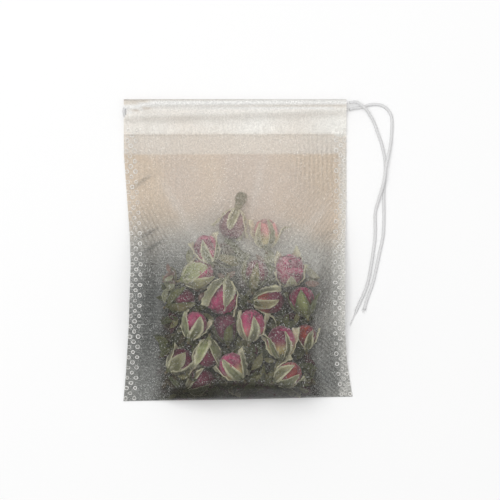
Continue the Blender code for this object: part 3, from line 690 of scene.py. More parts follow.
def sepal_rings(number, opening, radius, length, green, margin, broad, chances, seed):
    """One sepal: it leaves the hip, follows the petals and bends outwards by its opening."""
    turn_off, top, sway, twist, rim = chances
    stations = 17
    rings = []
    for v in (i / (stations - 1) for i in range(stations)):
        bend = max(0.0, (v - turn_off) / (1.0 - turn_off))
        closed = SEPAL_FOOT + (top - SEPAL_FOOT) * v
        height = closed - 0.30 * opening * bend ** 2
        hug = petal_reach(min(closed, WIDEST)) * 1.02 + 0.05
        reach = max(hug, 0.34) + (0.06 + 0.95 * opening) * bend ** 1.6
        half = SEPAL_WIDTH / 2 * broad * max(0.03, (1.0 - v) ** 0.9 * (0.62 + 1.1 * v))
        middle = SEPAL_ANGLE + number * tau / SEPAL_COUNT + sway * v * v
        ring = []
        for side, u in blade_round(BLADE_POINTS):
            angle = middle + u * half / (radius * max(reach, 0.62))
            curl = 0.10 * abs(u) ** 3 * (1.0 - 0.5 * v) + twist * u * bend
            wave = 0.08 * uneven(number * 5.0 + u, v * 5.0, seed)
            wave += 0.16 * u * u * uneven(number * 3.0 + 2 * (u > 0), v * 8.0, seed + 40)
            thick = SEPAL_HALF_THICKNESS / radius * (1.0 + 0.9 * (abs(u) > 0.8))
            h = height + 0.02 * uneven(number * 9.0, v * 5.0 + u, seed + 20)
            blotch = uneven(number * 7.0 + u * 1.2, v * 3.5, seed + 60)
            edge = smooth_step((abs(u) - rim + 0.12 + 0.25 * blotch) / 0.24)
            deep = mixed(green, OLIVE, min(1.0, max(0.0, 0.75 - 1.1 * v + 1.3 * blotch)))
            tone = mixed(deep, margin, edge) if side > 0 else margin
            rib = 0.20 * (abs(u) < 0.1) * (1.0 - v)
            ring.append((on_bud(radius, length, angle, reach + curl + wave + thick * side, h),
                         mixed(tone, margin, max(rib, 0.6 * v ** 3)), (u * 0.5 + number, v)))
        rings.append(ring)
    return rings


def pouch_hit(x, y, above=True):
    """Where a plumb line from above or from below meets the bag's solid, if it does."""
    start, way = (0.05, -1.0) if above else (-0.05, 1.0)
    return pouch_tree.ray_cast(Vector((x, y, start)), Vector((0.0, 0.0, way)))[0]


def in_bag(point):
    """Whether a point is well inside the bag, between its two plies."""
    above = pouch_hit(point.x, point.y)
    return above is not None and CLOTH_CLEARANCE < point.z < above.z - CLOTH_CLEARANCE


def is_free(point, around):
    """Whether a point is clear of the buds around it and well inside the bag."""
    near, normal, _, _ = around.find_nearest(point, 0.004)
    if near is not None and ((point - near).dot(normal) < 0 or (point - near).length < BUD_CLEARANCE):
        return False
    return in_bag(point)


def add_sepals(bud, place, radius, length, green, margin, broad, seed, around):
    """Five sepals, each opened as far as the buds and the cloth around it let it."""
    chance = random.Random(seed + 900)
    for number in range(SEPAL_COUNT):
        chances = (chance.uniform(0.30, 0.45), 0.92 + chance.uniform(-0.05, 0.06),
                   chance.uniform(-0.40, 0.40), chance.uniform(-0.30, 0.30), chance.uniform(0.60, 0.88))
        wanted = chance.uniform(0.15, 1.0)
        blade = mixed(green, chance.choice((FRESH, OLIVE, DARK, STRAW)), chance.uniform(0.1, 0.6))
        for share in SEPAL_TRIES:
            rings = sepal_rings(number, wanted * share, radius, length, blade, margin, broad, chances, seed)
            outer = (place @ Vector(corner[0]) for ring in rings[6:] for corner in ring[::2])
            if share == 0.0 or all(is_free(point, around) for point in outer):
                break
        bud.add_rings(rings, 1)


def add_hip(bud, radius, length, green, leaf, seed):
    """The small hip under the sepals, and the stub of stalk or the folded leaf below it."""
    end = -leaf / length
    below = [(end, 0.12), (0.05, 0.11), (0.10, 0.14)]
    if leaf:
        below = [(end * 0.98, 0.28), (end * 0.80, 0.42), (end * 0.50, 0.47), (end * 0.20, 0.42),
                 (0.02, 0.34), (0.10, 0.27)]
    rings = []
    for height, share in [(end - 0.008, 0.063), *below, *HIP_OUTLINE]:
        ring = []
        flat = 0.45 if height < 0.12 and leaf else 1.0
        woody = smooth_step((0.12 - height) / 0.1)
        tone = mixed(green, STALK_LEAF if leaf else STALK_STUB, 0.8 * woody)
        for angle in (tau * j / HIP_POINTS for j in range(HIP_POINTS)):
            dent = 1.0 + 0.10 * uneven(cos(angle) * 2, sin(angle) * 2, height * 9 + seed)
            x, y, z = on_bud(radius, length, angle, share * dent, height)
            ring.append(((flat * x, y, z), tone, (angle / tau, height * 3)))
        rings.append(ring)
    bud.add_rings(rings, 2)


def bud_place(node, turn, length):
    """Where a bud lies: turned as given, with its tip on the tip of its CAD solid."""
    points = [Vector(v.co) for v in nodes[node].data.vertices]
    axis = turn @ Vector((0.0, 0.0, 1.0))
    tip = max(points, key=axis.dot)
    return Matrix.Translation(tip - axis * length / 2) @ turn.to_4x4()


def tree_around(node):
    """All other buds, finished or still as solids, in one search tree."""
    points, faces = [], []
    for other, mesh in solids.items():
        if other != node:
            first = len(points)
            points += [tuple(v.co) for v in mesh.vertices]
            faces += [[first + k for k in p.vertices] for p in mesh.polygons]
    return BVHTree.FromPolygons(points, faces)


pouch_solid = nodes["filter_pouch"].data
pouch_tree = BVHTree.FromPolygons([v.co for v in pouch_solid.vertices],
                                  [p.vertices for p in pouch_solid.polygons])
solids = {f"rosebud_{k:02d}": nodes[f"rosebud_{k:02d}"].data for k in range(1, len(BUDS) + 1)}
for number, (heading, pitch, roll, size, tip, base, green, margin, broad) in enumerate(BUDS, 1):
    node = f"rosebud_{number:02d}"
    radius, length = BUD_DIAMETER * size / 2, BUD_LENGTH * size
    turn = Euler((0.0, radians(90 - pitch), radians(heading)), "XYZ").to_matrix()
    turn = turn @ Euler((0.0, 0.0, radians(roll)), "XYZ").to_matrix()
    bud = BudMesh()
    add_petals(bud, radius, length, tip, base, number)
    place = bud_place(node, turn, length)
    add_sepals(bud, place, radius, length, green, margin, broad, number, tree_around(node))
    add_hip(bud, radius, length, mixed(green, OLIVE, 0.4), STALK_LEAVES.get(number, 0.0), number)
    piece = bud.to_object(f"dried_bud_{number:02d}", place)
    solids[node] = piece.data
    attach(piece, "root")
    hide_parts(node)
    piece.name


# Loose flakes. Sepals and petals that broke off the dried buds and settled between them, each a
# small curled blade, on the back of the bag and on lower buds, and packed in the bottom fold.

# count, field in X and in Y, levels, least room, size at no room and growth with it, lean
FLAKE_LOTS = [
    (230, (-0.0195, 0.0195), (-0.0365, -0.0010), (0.0012, 0.0055), 0.0011, (0.0, 2.8), 0.5),
    (190, (-0.0190, 0.0190), (-0.0386, -0.0325), (0.0010, 0.0095), 0.000385, (0.0015, 1.2), 1.1),
]
FLAKE_RIM = [(-0.5, 0.0, 0.23), (0.5, 0.0, 0.23), (0.0, -0.21, 0.12), (0.0, 0.21, 0.12), (0.0, 0.0, 0.0)]
FLAKE_WIDTH = 0.42
FLAKE_THICKNESS = 0.05
FLAKE_CURL = 2.6
FLAKE_BEND = 0.9
FLAKE_LENGTH = (0.0026, 0.0056)
FLAKE_REACH = 0.0045
HEAP_REACH = 0.0205
HEAP_NARROWS = (-0.006, 1.4)  # from this Y up, by this much per metre
FLAKE_TONES = [OLIVE, OLIVE, DARK, DARK, (0.09, 0.10, 0.045), (0.075, 0.055, 0.030), (0.20, 0.19, 0.09),
               (0.07, 0.012, 0.025)]
PALE_FLAKES = [SAGE, PALE_SAGE, PALE_SAGE, (0.34, 0.32, 0.22), (0.30, 0.20, 0.17), OLIVE]
PALE_ABOVE = -0.0125

flake_tree, given, out, node, maths = new_tree("loose_flakes", Float=["Bend"], Material=["Material"])
blade = node("MeshGrid", {"Size X": 1.0, "Size Y": FLAKE_WIDTH, "Vertices X": 7, "Vertices Y": 4})
axes = node("SeparateXYZ", {0: node("InputPosition")}).outputs
far = maths("ABSOLUTE", maths("MULTIPLY", axes["X"], 2.0))
narrow = maths("SUBTRACT", 1.02, maths("POWER", far, 2.2))
curl_x, curl_y = (maths("MULTIPLY", maths("MULTIPLY", axes[name], axes[name]), bend)
                  for name, bend in (("X", given["Bend"]), ("Y", FLAKE_CURL)))
bent = node("CombineXYZ", {
    "X": axes["X"], "Y": maths("MULTIPLY", axes["Y"], narrow), "Z": maths("ADD", curl_x, curl_y)})
blade = node("SetPosition", {"Geometry": blade, "Position": bent})
blade = node("ExtrudeMesh", {"Mesh": blade, "Offset Scale": FLAKE_THICKNESS, "Individual": False})
heading = node("InputNamedAttribute", {"Name": "heading"}, data_type="FLOAT_VECTOR")
reach = node("InputNamedAttribute", {"Name": "reach"}, data_type="FLOAT")
end_tree(node, out, node("InstanceOnPoints", {
    "Points": given["Geometry"], "Instance": blade, "Rotation": node("EulerToRotation", {0: heading}),
    "Scale": reach}), given["Material"])


def flake_material():
    """Dried leaf and petal crumbs: mottled, matt."""
    mat, shader, node, maths = shade("dried_flake")
    own = node("Attribute", attribute_name="flake_colour").outputs["Color"]
    mottle = grain(node, node("TexCoord").outputs["Object"], 1400.0, 4.0)
    tone = maths("MULTIPLY_ADD", mottle, 1.3, 0.35)
    bump = node("Bump", {"Strength": 0.6, "Distance": 0.00008, "Height": mottle})
    fill(shader, {"Base Color": toned(node, own, tone), "Normal": bump, "Roughness": 0.8})
    return mat


chance = random.Random(4)
all_buds = tree_around("none")
flake_points, headings, reaches, flake_tones = [], [], [], []
for count, field_x, field_y, levels, least_room, (smallest, growth), lean in FLAKE_LOTS:
    wanted = len(flake_points) + count
    while len(flake_points) < wanted:
        x, y = chance.uniform(*field_x), chance.uniform(*field_y)
        if abs(x) > HEAP_REACH - max(0.0, y - HEAP_NARROWS[0]) * HEAP_NARROWS[1]:
            continue
        spot = Vector((x, y, chance.uniform(*levels)))
        near, normal, _, away = all_buds.find_nearest(spot, 0.02)
        if not least_room < away < FLAKE_REACH or (spot - near).dot(normal) < 0:
            continue
        size = min(chance.uniform(*FLAKE_LENGTH), smallest + away * growth)
        heading = (chance.uniform(-lean, lean), chance.uniform(-0.4, 0.4), chance.uniform(0, tau))
        turn = Euler(heading).to_matrix() * size
        if not all(in_bag(spot + turn @ Vector(corner)) for corner in FLAKE_RIM):
            continue
        flake_points.append(spot)
        reaches.append(size)
        headings.append(heading)
        flake_tones.append((*chance.choice(PALE_FLAKES if y > PALE_ABOVE else FLAKE_TONES), 1.0))
flakes = run_tree(
    "loose_flakes", flake_tree, {"Bend": FLAKE_BEND, "Material": flake_material()}, flake_points,
    heading=("FLOAT_VECTOR", headings), reach=("FLOAT", reaches), flake_colour=("FLOAT_COLOR", flake_tones))
piece = add_object("loose_flakes", flakes)
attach(piece, "root")


# Pouch. One cut of sheer plain-woven mesh, folded at the bottom and turned in at the mouth into a
# front and a back hem, each with its raw edge inside; both sides are welded with three columns
# of dots. Its threads carry painted shade: greying to slate over the lower half and in the
# creases, near black under and over the heap and along the bottom fold.

FRONT_HEM = 0.0093
BACK_HEM = 0.0144
SIDE_SLIT = 0.0081
BOTTOM_SKEW = 0.0012
FRONT_RAW_Y = MOUTH_Y - FRONT_HEM
BACK_RAW_Y = MOUTH_Y - BACK_HEM
TURN_Y = (front_strand(LEFT_END) + back_strand(LEFT_END)) / 2
TURN_REACH = 0.0015
DRAWN_IN_FROM = FOLD_Y + 0.82 * BAG_LENGTH
EDGE_EASE = 0.0001
RAW_WAVE = 0.0005
CLOTH_COLUMNS = 104
CLOTH_ROWS = 134
WEAVE_PITCH = 0.00028
THREAD_SHARE = 0.36
THREAD_WANDER = 0.0012
TIGHTENINGS = 14
FRONT_GAP = 0.00012
BACK_GAP = 0.0002
FLAPS_APART = 0.00028
FLAP_LOWEST = 0.00036
EDGE_SHARE = 0.002
EDGE_INSET = 0.00012
EDGE_HEIGHT = 0.0005
STILL_COLUMNS = 7
STILL_ROWS = 2
PLIES_APART = 0.00008
ROWS_APART = 0.0002
THREAD_EDGE = 0.06

# how much the thick plies cover, and the thread colours, painted shade and painted light among them
THICK_COVER = {"front flap": 0.50, "fold": 0.6, "back": 0.93, "back flap": 0.40}
HEM_WHITE = (0.95, 0.93, 0.88)
HEM_BEIGE = (0.80, 0.73, 0.65)
# painted light: warm white in a band below the front strand
HEM_LIGHT = (1.0, 0.965, 0.91)
# painted shadow: tan above the front strand, at the left
HEM_SHADOW_TAN = (0.84, 0.78, 0.70)
BEIGE = (0.72, 0.61, 0.49)
ROSE_GREY = (0.68, 0.59, 0.51)
PALE_GREY = (0.60, 0.585, 0.54)
# painted shade: the slate grey that the lower half and the creases darken towards
SLATE_SHADE = (0.108, 0.119, 0.116)
# painted shade: near black, under the heap and along the bottom fold
DEEP_SHADE = (0.014, 0.013, 0.007)
# painted shade: the dark grey of the front ply's threads over the heap
VEIL_SHADE = (0.130, 0.126, 0.112)
HEAP_HAZE = (0.62, 0.60, 0.53)
SEAM_PALE = (0.82, 0.81, 0.77)
# painted light: white where the cloth rides over the drawstring
RIDGE_LIGHT = (1.0, 0.99, 0.96)
FOLD_LIGHT = (0.88, 0.86, 0.82)
GLINT_WHITE = (1.0, 1.0, 0.98)

# stations in Y, in millimetres, with how free the side is of painted slate shade or how far the heap
# reaches
LEFT_GREY = [(-39.5, 0.22), (-34, 0.24), (-22, 0.18), (-10, 0.19), (-4, 0.36), (4, 0.80), (14, 1.0)]
RIGHT_GREY = [(-39.5, 0.50), (-34, 0.26), (-24, 0.42), (-17, 0.55), (-10, 0.48), (-4, 0.80), (8, 1.0)]
LEFT_SEAM_PALE = 0.06
RIGHT_SEAM_PALE = [(-39.5, 0.46), (-20, 0.54), (-5, 0.66), (10, 0.75)]
HEAP_HALF = [(-39.5, 0.0215), (-12, 0.0200), (-3, 0.0150), (3, 0.0085), (9, 0.0040)]
HEAP_MIDDLE = 0.0005
HEAP_EDGE = 0.005
HEAP_TOP_RUN = 14
# the band of painted shade along the bottom fold: its top, its sag and its half width
FOLD_SHADE_TOP = -0.0326
FOLD_SHADE_SAG = 6.0
FOLD_SHADE_HALF = 0.0195

# start, end and strength of each tension crease, pressed in and darkened with painted shade,
# and of each fold that catches the light, brightened with painted light
CREASES = [
    ((-0.0225, 0.0200), (-0.0285, 0.0155), 0.45), ((-0.0205, 0.0060), (-0.0272, 0.0025), 0.55),
    ((-0.0190, 0.0030), (-0.0262, -0.0015), 0.55), ((-0.0225, -0.0140), (-0.0285, -0.0115), 0.30),
    ((0.0200, -0.0290), (0.0262, -0.0375), 0.40), ((0.0215, -0.0210), (0.0285, -0.0250), 0.35),
    ((0.0205, 0.0030), (0.0275, 0.0060), 0.25), ((-0.0200, -0.0330), (-0.0270, -0.0370), 0.30),
]
CREASE_WIDTH = 0.00042
CREASE_DEPTH = 0.00016
LIT_FOLDS = [
    ((-0.0200, 0.0180), (-0.0085, 0.0000), 0.60), ((-0.0066, 0.0240), (-0.0046, 0.0110), 0.45),
    ((0.0068, 0.0245), (0.0034, 0.0090), 0.45), ((0.0230, 0.0120), (0.0110, -0.0030), 0.45),
]
LIT_WIDTH = 0.0011

# direction, pitch, depth, middle and reach of each patch where the two plies' weaves beat
MOIRE = [
    (0.0, 0.0012, 0.17, (0.0215, 0.0215, 0.0), 0.011),
    (0.0, 0.0014, 0.08, (-0.0210, 0.0215, 0.0), 0.012),
    (radians(90), 0.0008, 0.30, (-0.0220, -0.0150, 0.0), 0.022),
    (radians(50), 0.0010, 0.30, (0.0235, -0.0320, 0.0), 0.014),
    (radians(-35), 0.0009, 0.16, (0.0220, 0.0020, 0.0), 0.018),
    (radians(28), 0.0011, 0.22, (-0.0230, 0.0040, 0.0), 0.012),
    (radians(90), 0.0006, 0.30, (0.0010, -0.0200, 0.0), 0.022),
]
# short ticks of light in a band above the front hem's raw edge
TICK_GRAIN = (1500.0, 240.0, 1.0)
TICK_BAND = FRONT_RAW_Y + 0.0014
TICK_REACH = (0.0009, 0.0016)


def over_cord(height, offset):
    """Cloth that wraps a strand's channel and leaves it at 45 degrees."""
    offset = abs(offset)
    if offset < WRAP_RADIUS / WRAP_TANGENT:
        return height + sqrt(WRAP_RADIUS ** 2 - offset ** 2)
    return height + WRAP_RADIUS * WRAP_TANGENT - offset


def cloth_place(across, y):
    """Plan of a point of the outline, across from 0 at the left edge to 1 at the right."""
    x = side_x(y, -1) + across * (side_x(y, 1) - side_x(y, -1))
    return x, y + BOTTOM_SKEW * (0.5 + x / BAG_WIDTH) / BAG_LENGTH * (MOUTH_Y - y)


def sheet_place(across, y):
    """Plan of the sheet: its left edge is drawn in only where the drawstring turns round it."""
    x, plan_y = cloth_place(across, y)
    if y > DRAWN_IN_FROM and x < 0:
        turn = 1.0 - smooth_step(abs(y - TURN_Y) / TURN_REACH - 0.35)
        loose = (-BAG_WIDTH / 2 + EDGE_EASE) - side_x(y, -1)
        x += loose * (1.0 - turn) * smooth_step(1.0 - across * 8)
    return x, plan_y


def face_height(across, y, above):
    """Height of the pouch's upper or lower face, just inside its outline."""
    across = min(max(across, EDGE_SHARE), 1.0 - EDGE_SHARE)
    hit = pouch_hit(*cloth_place(across, min(max(y, FOLD_Y + EDGE_INSET), MOUTH_Y - EDGE_INSET)), above)
    return hit.z if hit else EDGE_HEIGHT


def streak(x, y, lines, width):
    """How strong the nearest of some fading lines is at a point, 0 to 1."""
    deepest = 0.0
    for (ax, ay), (bx, by), depth in lines:
        along = ((x - ax) * (bx - ax) + (y - ay) * (by - ay)) / ((bx - ax) ** 2 + (by - ay) ** 2)
        share = min(max(along, 0.0), 1.0)
        off = sqrt((x - ax - share * (bx - ax)) ** 2 + (y - ay - share * (by - ay)) ** 2)
        fading = sin(pi * min(max(0.12 + 0.88 * along, 0.0), 1.0)) if -0.13 < along < 1.0 else 0.0
        deepest = max(deepest, depth * fading * exp(-((off / width) ** 2)))
    return deepest


def crease(x, y):
    """How deep the nearest tension crease is at a point."""
    return streak(x, y, CREASES, CREASE_WIDTH)


def ramp(value, stops):
    return float(np.interp(value, *zip(*stops)))


def heap_share(x, y, patch):
    """1 where the cloth lies against the heap, fading out around it."""
    mm = y * 1000
    beside = (ramp(mm, HEAP_HALF) - abs(x - HEAP_MIDDLE)) / HEAP_EDGE + 0.5 + 0.5 * patch
    return smooth_step(beside) * smooth_step((1 - mm) / HEAP_TOP_RUN)


def fold_shade_share(x, y):
    """1 in the band along the bottom fold that is painted near black: painted shade, where crumbs lie
    packed inside.
    """
    below = smooth_step((FOLD_SHADE_TOP - FOLD_SHADE_SAG * x * x - y) / 0.0026)
    return below * smooth_step((FOLD_SHADE_HALF - abs(x)) / 0.003)


def hem_tint(x, y, patch):
    """The hems: white painted light where the drawstring lies under the cloth, painted tan
    shadows along it, and warm painted light in a band below the front strand.
    """
    above = y - front_strand(x)
    away = abs(above) / CHANNEL_RADIUS
    over_strand = smooth_step((1.25 - away) / 0.5)
    # above the front strand: a painted tan shadow at the left, painted light over the strand
    if above > 0:
        return mixed(mixed(HEM_SHADOW_TAN, HEM_WHITE, smooth_step(0.5 + x / 0.03)), RIDGE_LIGHT, over_strand)
    # close below the strand: painted light, with a painted beige shadow line in it
    if away < 1.9:
        return mixed(HEM_BEIGE, RIDGE_LIGHT, max(over_strand, smooth_step((away - 1.3) / 0.6)))
    tone = mixed(HEM_BEIGE, HEM_WHITE, 0.75 + 0.5 * x / BAG_WIDTH + 0.7 * patch)
    # between the front strand and the front raw edge: warm painted light below the strand
    if y > FRONT_RAW_Y:
        return mixed(tone, HEM_LIGHT, 0.65 * smooth_step((above + 0.0056) / 0.0036))
    return mixed(HEM_BEIGE, tone, 0.30)


def cloth_tint(x, y, ply):
    """Colour of the threads: beige at the mouth, greying towards painted slate shade beside the
    heap. The front ply is hazy over the heap's top and painted dark over the rest of the heap;
    the back ply carries painted shade under all of it."""
    mm = y * 1000
    patch = uneven(x * 90, y * 55, 3.0)
    if y > BACK_RAW_Y:
        return hem_tint(x, y, patch)
    side = max(-1.0, min(1.0, x / 0.0285))
    unshaded = mixed(BEIGE, ROSE_GREY, smooth_step(1.35 - abs(side) * 1.6 + 0.9 * patch))
    unshaded = mixed(PALE_GREY, unshaded, smooth_step((mm - 1 + 8 * patch + 5 * abs(side)) / 12))
    # painted shade: the cloth greys towards slate lower down, by the side's stations
    grey = ramp(mm, LEFT_GREY if side < 0 else RIGHT_GREY)
    seam = smooth_step((abs(side) - 0.90) / 0.07)
    seam *= LEFT_SEAM_PALE if side < 0 else ramp(mm, RIGHT_SEAM_PALE)
    tone = mixed(mixed(SLATE_SHADE, unshaded, grey), SEAM_PALE, seam)
    heap = heap_share(x, y, patch)
    if ply == "front":
        over_heap = smooth_step((ramp(mm, HEAP_HALF) - abs(x)) / 0.004) * smooth_step((mm + 15) / 8)
        tone = mixed(tone, HEAP_HAZE, 0.75 * over_heap * smooth_step((4 - mm) / 4))
        # painted shade: the front ply is dark grey over the heap and near black along the bottom fold
        veil_shade = mixed(VEIL_SHADE, DEEP_SHADE, fold_shade_share(x, y))
        tone = mixed(tone, veil_shade, 0.95 * heap * smooth_step((1 - mm) / 15))
        tone = mixed(tone, FOLD_LIGHT, streak(x, y, LIT_FOLDS, LIT_WIDTH) * (0.8 + 0.8 * patch))
    else:
        # painted shade under the heap: near black, mottled with olive and wine
        blotch = uneven(x * 420, y * 420, 8.0)
        shade_under_heap = mixed(DEEP_SHADE, DARK, smooth_step(blotch * 2))
        shade_under_heap = mixed(shade_under_heap, WINE, 0.4 * smooth_step(-blotch * 2.5 - 0.4))
        tone = mixed(tone, shade_under_heap, 0.97 * heap)
    # painted shade in the tension creases
    return mixed(tone, SLATE_SHADE, crease(x, y))


def cloth_cover(x, y, ply):
    """How much of what lies behind a ply is covered by its threads."""
    if ply == "back":
        return THICK_COVER[ply] + 0.062 * heap_share(x, y, 0.0)
    if ply != "front":
        return THICK_COVER[ply]
    haze = 0.265 + 0.045 * smooth_step((y + 0.013) / 0.018) + 0.405 * fold_shade_share(x, y)
    return haze + 0.34 * smooth_step((y - FRONT_RAW_Y) / 0.0006)


def cloth_speckle(x, y):
    """How much the threads differ in brightness and how much they glint: most in the lower half, little in
    the painted shade along the fold.
    """
    return (0.16 + 0.54 * smooth_step((0.010 - y) / 0.018)) * (1.0 - min(1.0, 1.6 * fold_shade_share(x, y)))


shares = [i / CLOTH_COLUMNS for i in range(CLOTH_COLUMNS + 1)]
heights_y = [FOLD_Y + BAG_LENGTH * j / CLOTH_ROWS for j in range(CLOTH_ROWS + 1)]
top, low = (np.array([[face_height(s, y, above) for y in heights_y] for s in shares])
            for above in (True, False))

# the front ply is drawn tight over the buds, but for its welded sides, its fold and its hem
still = np.zeros(top.shape, dtype=bool)
still[:STILL_COLUMNS] = still[-STILL_COLUMNS:] = True
still[:, :STILL_ROWS] = True
still[:, np.array(heights_y) > FRONT_RAW_Y - 0.001] = True
front = top.copy()
for _ in range(TIGHTENINGS):
    drawn = front.copy()
    drawn[1:-1, 1:-1] = (front[:-2, 1:-1] + front[2:, 1:-1] + front[1:-1, :-2] + front[1:-1, 2:]) / 4
    front = np.where(still, front, np.maximum(drawn, top - 0.00002))
for i, share in enumerate(shares):
    for j, y in enumerate(heights_y[3:], 3):
        front[i, j] -= CREASE_DEPTH * crease(*cloth_place(share, y))
front -= PLY / 2
low = np.minimum(low + PLY / 2, front - PLIES_APART)


def back_flap(j):
    """Heights along row j of the back hem's inner ply, which wraps its strand."""
    plan = [cloth_place(share, heights_y[j]) for share in shares]
    wrapped = [over_cord(BACK_STRAND_Z, y - back_strand(x)) - PLY / 2 for x, y in plan]
    return np.minimum(np.maximum(FLAP_LOWEST, wrapped), front[:, j] - BACK_GAP)


def front_flap(j):
    """Heights along row j of the front hem's inner ply, between the back hem and the front."""
    return np.minimum(back_flap(j) + FLAPS_APART, front[:, j] - FRONT_GAP)


# the sheet from one raw edge to the other: front hem, front, bottom fold, back, back hem
front_rows = [j for j, y in enumerate(heights_y) if y > FRONT_RAW_Y + ROWS_APART]
back_rows = [j for j, y in enumerate(heights_y) if y > BACK_RAW_Y + ROWS_APART]
cloth_lines = [
    (FRONT_RAW_Y, front_flap(front_rows[0]), "front flap"),
    *((heights_y[j], front_flap(j), "front flap") for j in front_rows[:-1]),
    (MOUTH_Y, (front[:, -1] + front_flap(CLOTH_ROWS)) / 2, "front flap"),
    *((heights_y[j], front[:, j], "front") for j in range(CLOTH_ROWS - 1, 0, -1)),
    (FOLD_Y, (front[:, 0] + low[:, 0]) / 2, "fold"),
    *((heights_y[j], low[:, j], "back") for j in range(1, CLOTH_ROWS)),
    (MOUTH_Y, (low[:, -1] + 2 * PLY) / 2, "back"),
    *((heights_y[j], back_flap(j), "back flap") for j in reversed(back_rows[:-1])),
    (BACK_RAW_Y, back_flap(back_rows[0]), "back flap"),
]
ran = [np.zeros(len(shares))]
for (y, zs, _), (last_y, last_zs, _) in zip(cloth_lines[1:], cloth_lines):
    ran.append(ran[-1] + np.hypot(y - last_y, zs - last_zs).clip(min=PLY))
at_fold = next(run for run, line in zip(ran, cloth_lines) if line[2] == "fold")

points, tints, covers, speckles, spots = [], [], [], [], []
for number, ((y, zs, ply), run) in enumerate(zip(cloth_lines, ran)):
    wavy = RAW_WAVE if number in (0, len(cloth_lines) - 1) else 0.0
    for s, z, along in zip(shares, zs, run - at_fold):
        x, plan_y = sheet_place(s, y)
        plan_y += wavy * uneven(x * 130, y * 300, 1.0)
        points.append((x, plan_y, z))
        tints.append((*cloth_tint(x, plan_y, ply), 1.0))
        covers.append(cloth_cover(x, plan_y, ply))
        speckles.append(cloth_speckle(x, plan_y))
        spots.append((x, along))
count = len(shares)
faces = [(r * count + c, r * count + c + 1, (r + 1) * count + c + 1, (r + 1) * count + c)
         for r in range(len(cloth_lines) - 1) for c in range(count - 1)]


def mesh_material():
    """Plain weave of fine threads: pores let the buds show, crossings glint at random."""
    mat, shader, node, maths = shade("sheer_mesh")
    own = node("Attribute", attribute_name="cloth_colour").outputs["Color"]
    cover = node("Attribute", attribute_name="cover").outputs["Fac"]
    speckle = node("Attribute", attribute_name="speckle").outputs["Fac"]
    lay = node("UVMap", uv_map="lay")
    place = node("TexCoord").outputs["Object"]

    wander = grain(node, lay, 55.0, 1.0).outputs["Color"]
    shift = node("VectorMath", {0: wander, 1: (THREAD_WANDER, THREAD_WANDER, 0.0)}, operation="MULTIPLY")
    woven = node("VectorMath", {0: lay, 1: shift}, operation="ADD")
    pitches = node("VectorMath", {0: woven, "Scale": 1.0 / WEAVE_PITCH}, operation="SCALE")
    threads = []
    for along in node("SeparateXYZ", {0: pitches}).outputs[:2]:
        off = maths("ABSOLUTE", maths("SUBTRACT", maths("FRACT", along), 0.5))
        threads.append(ranged(node, off, THREAD_SHARE / 2, THREAD_SHARE / 2 + THREAD_EDGE, 1.0, 0.0))
    mask = maths("MAXIMUM", *threads)

    cell = node("VectorMath", {0: pitches}, operation="FLOOR")
    chance = node("TexWhiteNoise", {"Vector": cell}, noise_dimensions="2D")
    other = node("TexWhiteNoise", {"Vector": cell, "W": 3.7}, noise_dimensions="4D")
    drift = grain(node, lay, 95.0, 3.0)
    glint = maths("MULTIPLY", maths("POWER", chance, 8.0), ranged(node, drift, 0.42, 0.66, 0.32, 0.60))
    # the glints are painted highlights, gated by the speckle: few at the mouth, none in the fold's painted
    # shade
    glinting = maths("MINIMUM", maths("MULTIPLY", speckle, 6.5), 1.0)
    glint = maths("MULTIPLY", maths("MULTIPLY", glint, mask), glinting)

    pore = maths("MAXIMUM", maths("MULTIPLY_ADD", cover, 2.0, -1.0), 0.0)
    thread = maths("MINIMUM", maths("MULTIPLY", cover, 2.0), 1.0)
    alpha = maths("ADD", pore, maths("MULTIPLY", mask, maths("SUBTRACT", thread, pore)))
    open_half = maths("SUBTRACT", 0.5, maths("MULTIPLY", cover, 0.5))
    thinner = maths("MULTIPLY", open_half, maths("SUBTRACT", 1.0, other))
    alpha = maths("MULTIPLY", alpha, maths("SUBTRACT", 1.0, thinner))
    alpha = maths("MINIMUM", maths("ADD", alpha, maths("MULTIPLY", glint, 0.55)), 1.0)

    ripples = 1.0
    for turn, pitch, depth, middle, reach in MOIRE:
        aimed = node("Mapping", {"Vector": place, "Rotation": (0.0, 0.0, turn)}, vector_type="TEXTURE")
        wave = node("TexWave", {"Vector": aimed, "Scale": tau / (20 * pitch), "Distortion": 3.4,
                                "Detail": 1.0, "Detail Scale": 0.6}).outputs["Fac"]
        away = node("VectorMath", {0: place, 1: middle}, operation="DISTANCE").outputs["Value"]
        near = ranged(node, away, reach * 0.4, reach, depth, 0.0)
        ripples = maths("SUBTRACT", ripples, maths("MULTIPLY", near, wave))

    pressed = node("Mapping", {"Vector": place, "Scale": TICK_GRAIN})
    ticks = grain(node, pressed, 1.0, 2.0)
    height = node("SeparateXYZ", {0: place}).outputs["Y"]
    from_band = maths("ABSOLUTE", maths("SUBTRACT", height, TICK_BAND))
    ticks = maths("MULTIPLY", ranged(node, ticks, 0.45, 0.70, 0.0, 0.16),
                  ranged(node, from_band, *TICK_REACH, 1.0, 0.0))
    vary = maths("MULTIPLY_ADD", maths("SUBTRACT", other, 0.5), speckle, 1.02)
    vary = maths("MULTIPLY", maths("ADD", vary, ticks), ripples)
    bright = node("Mix", {"Factor": glint, "A": toned(node, own, vary), "B": (*GLINT_WHITE, 1.0)},
                  data_type="RGBA")
    fill(shader, {"Base Color": bright.outputs["Result"], "Alpha": alpha, "Roughness": 0.42,
                  "Specular IOR Level": 0.2})
    return mat


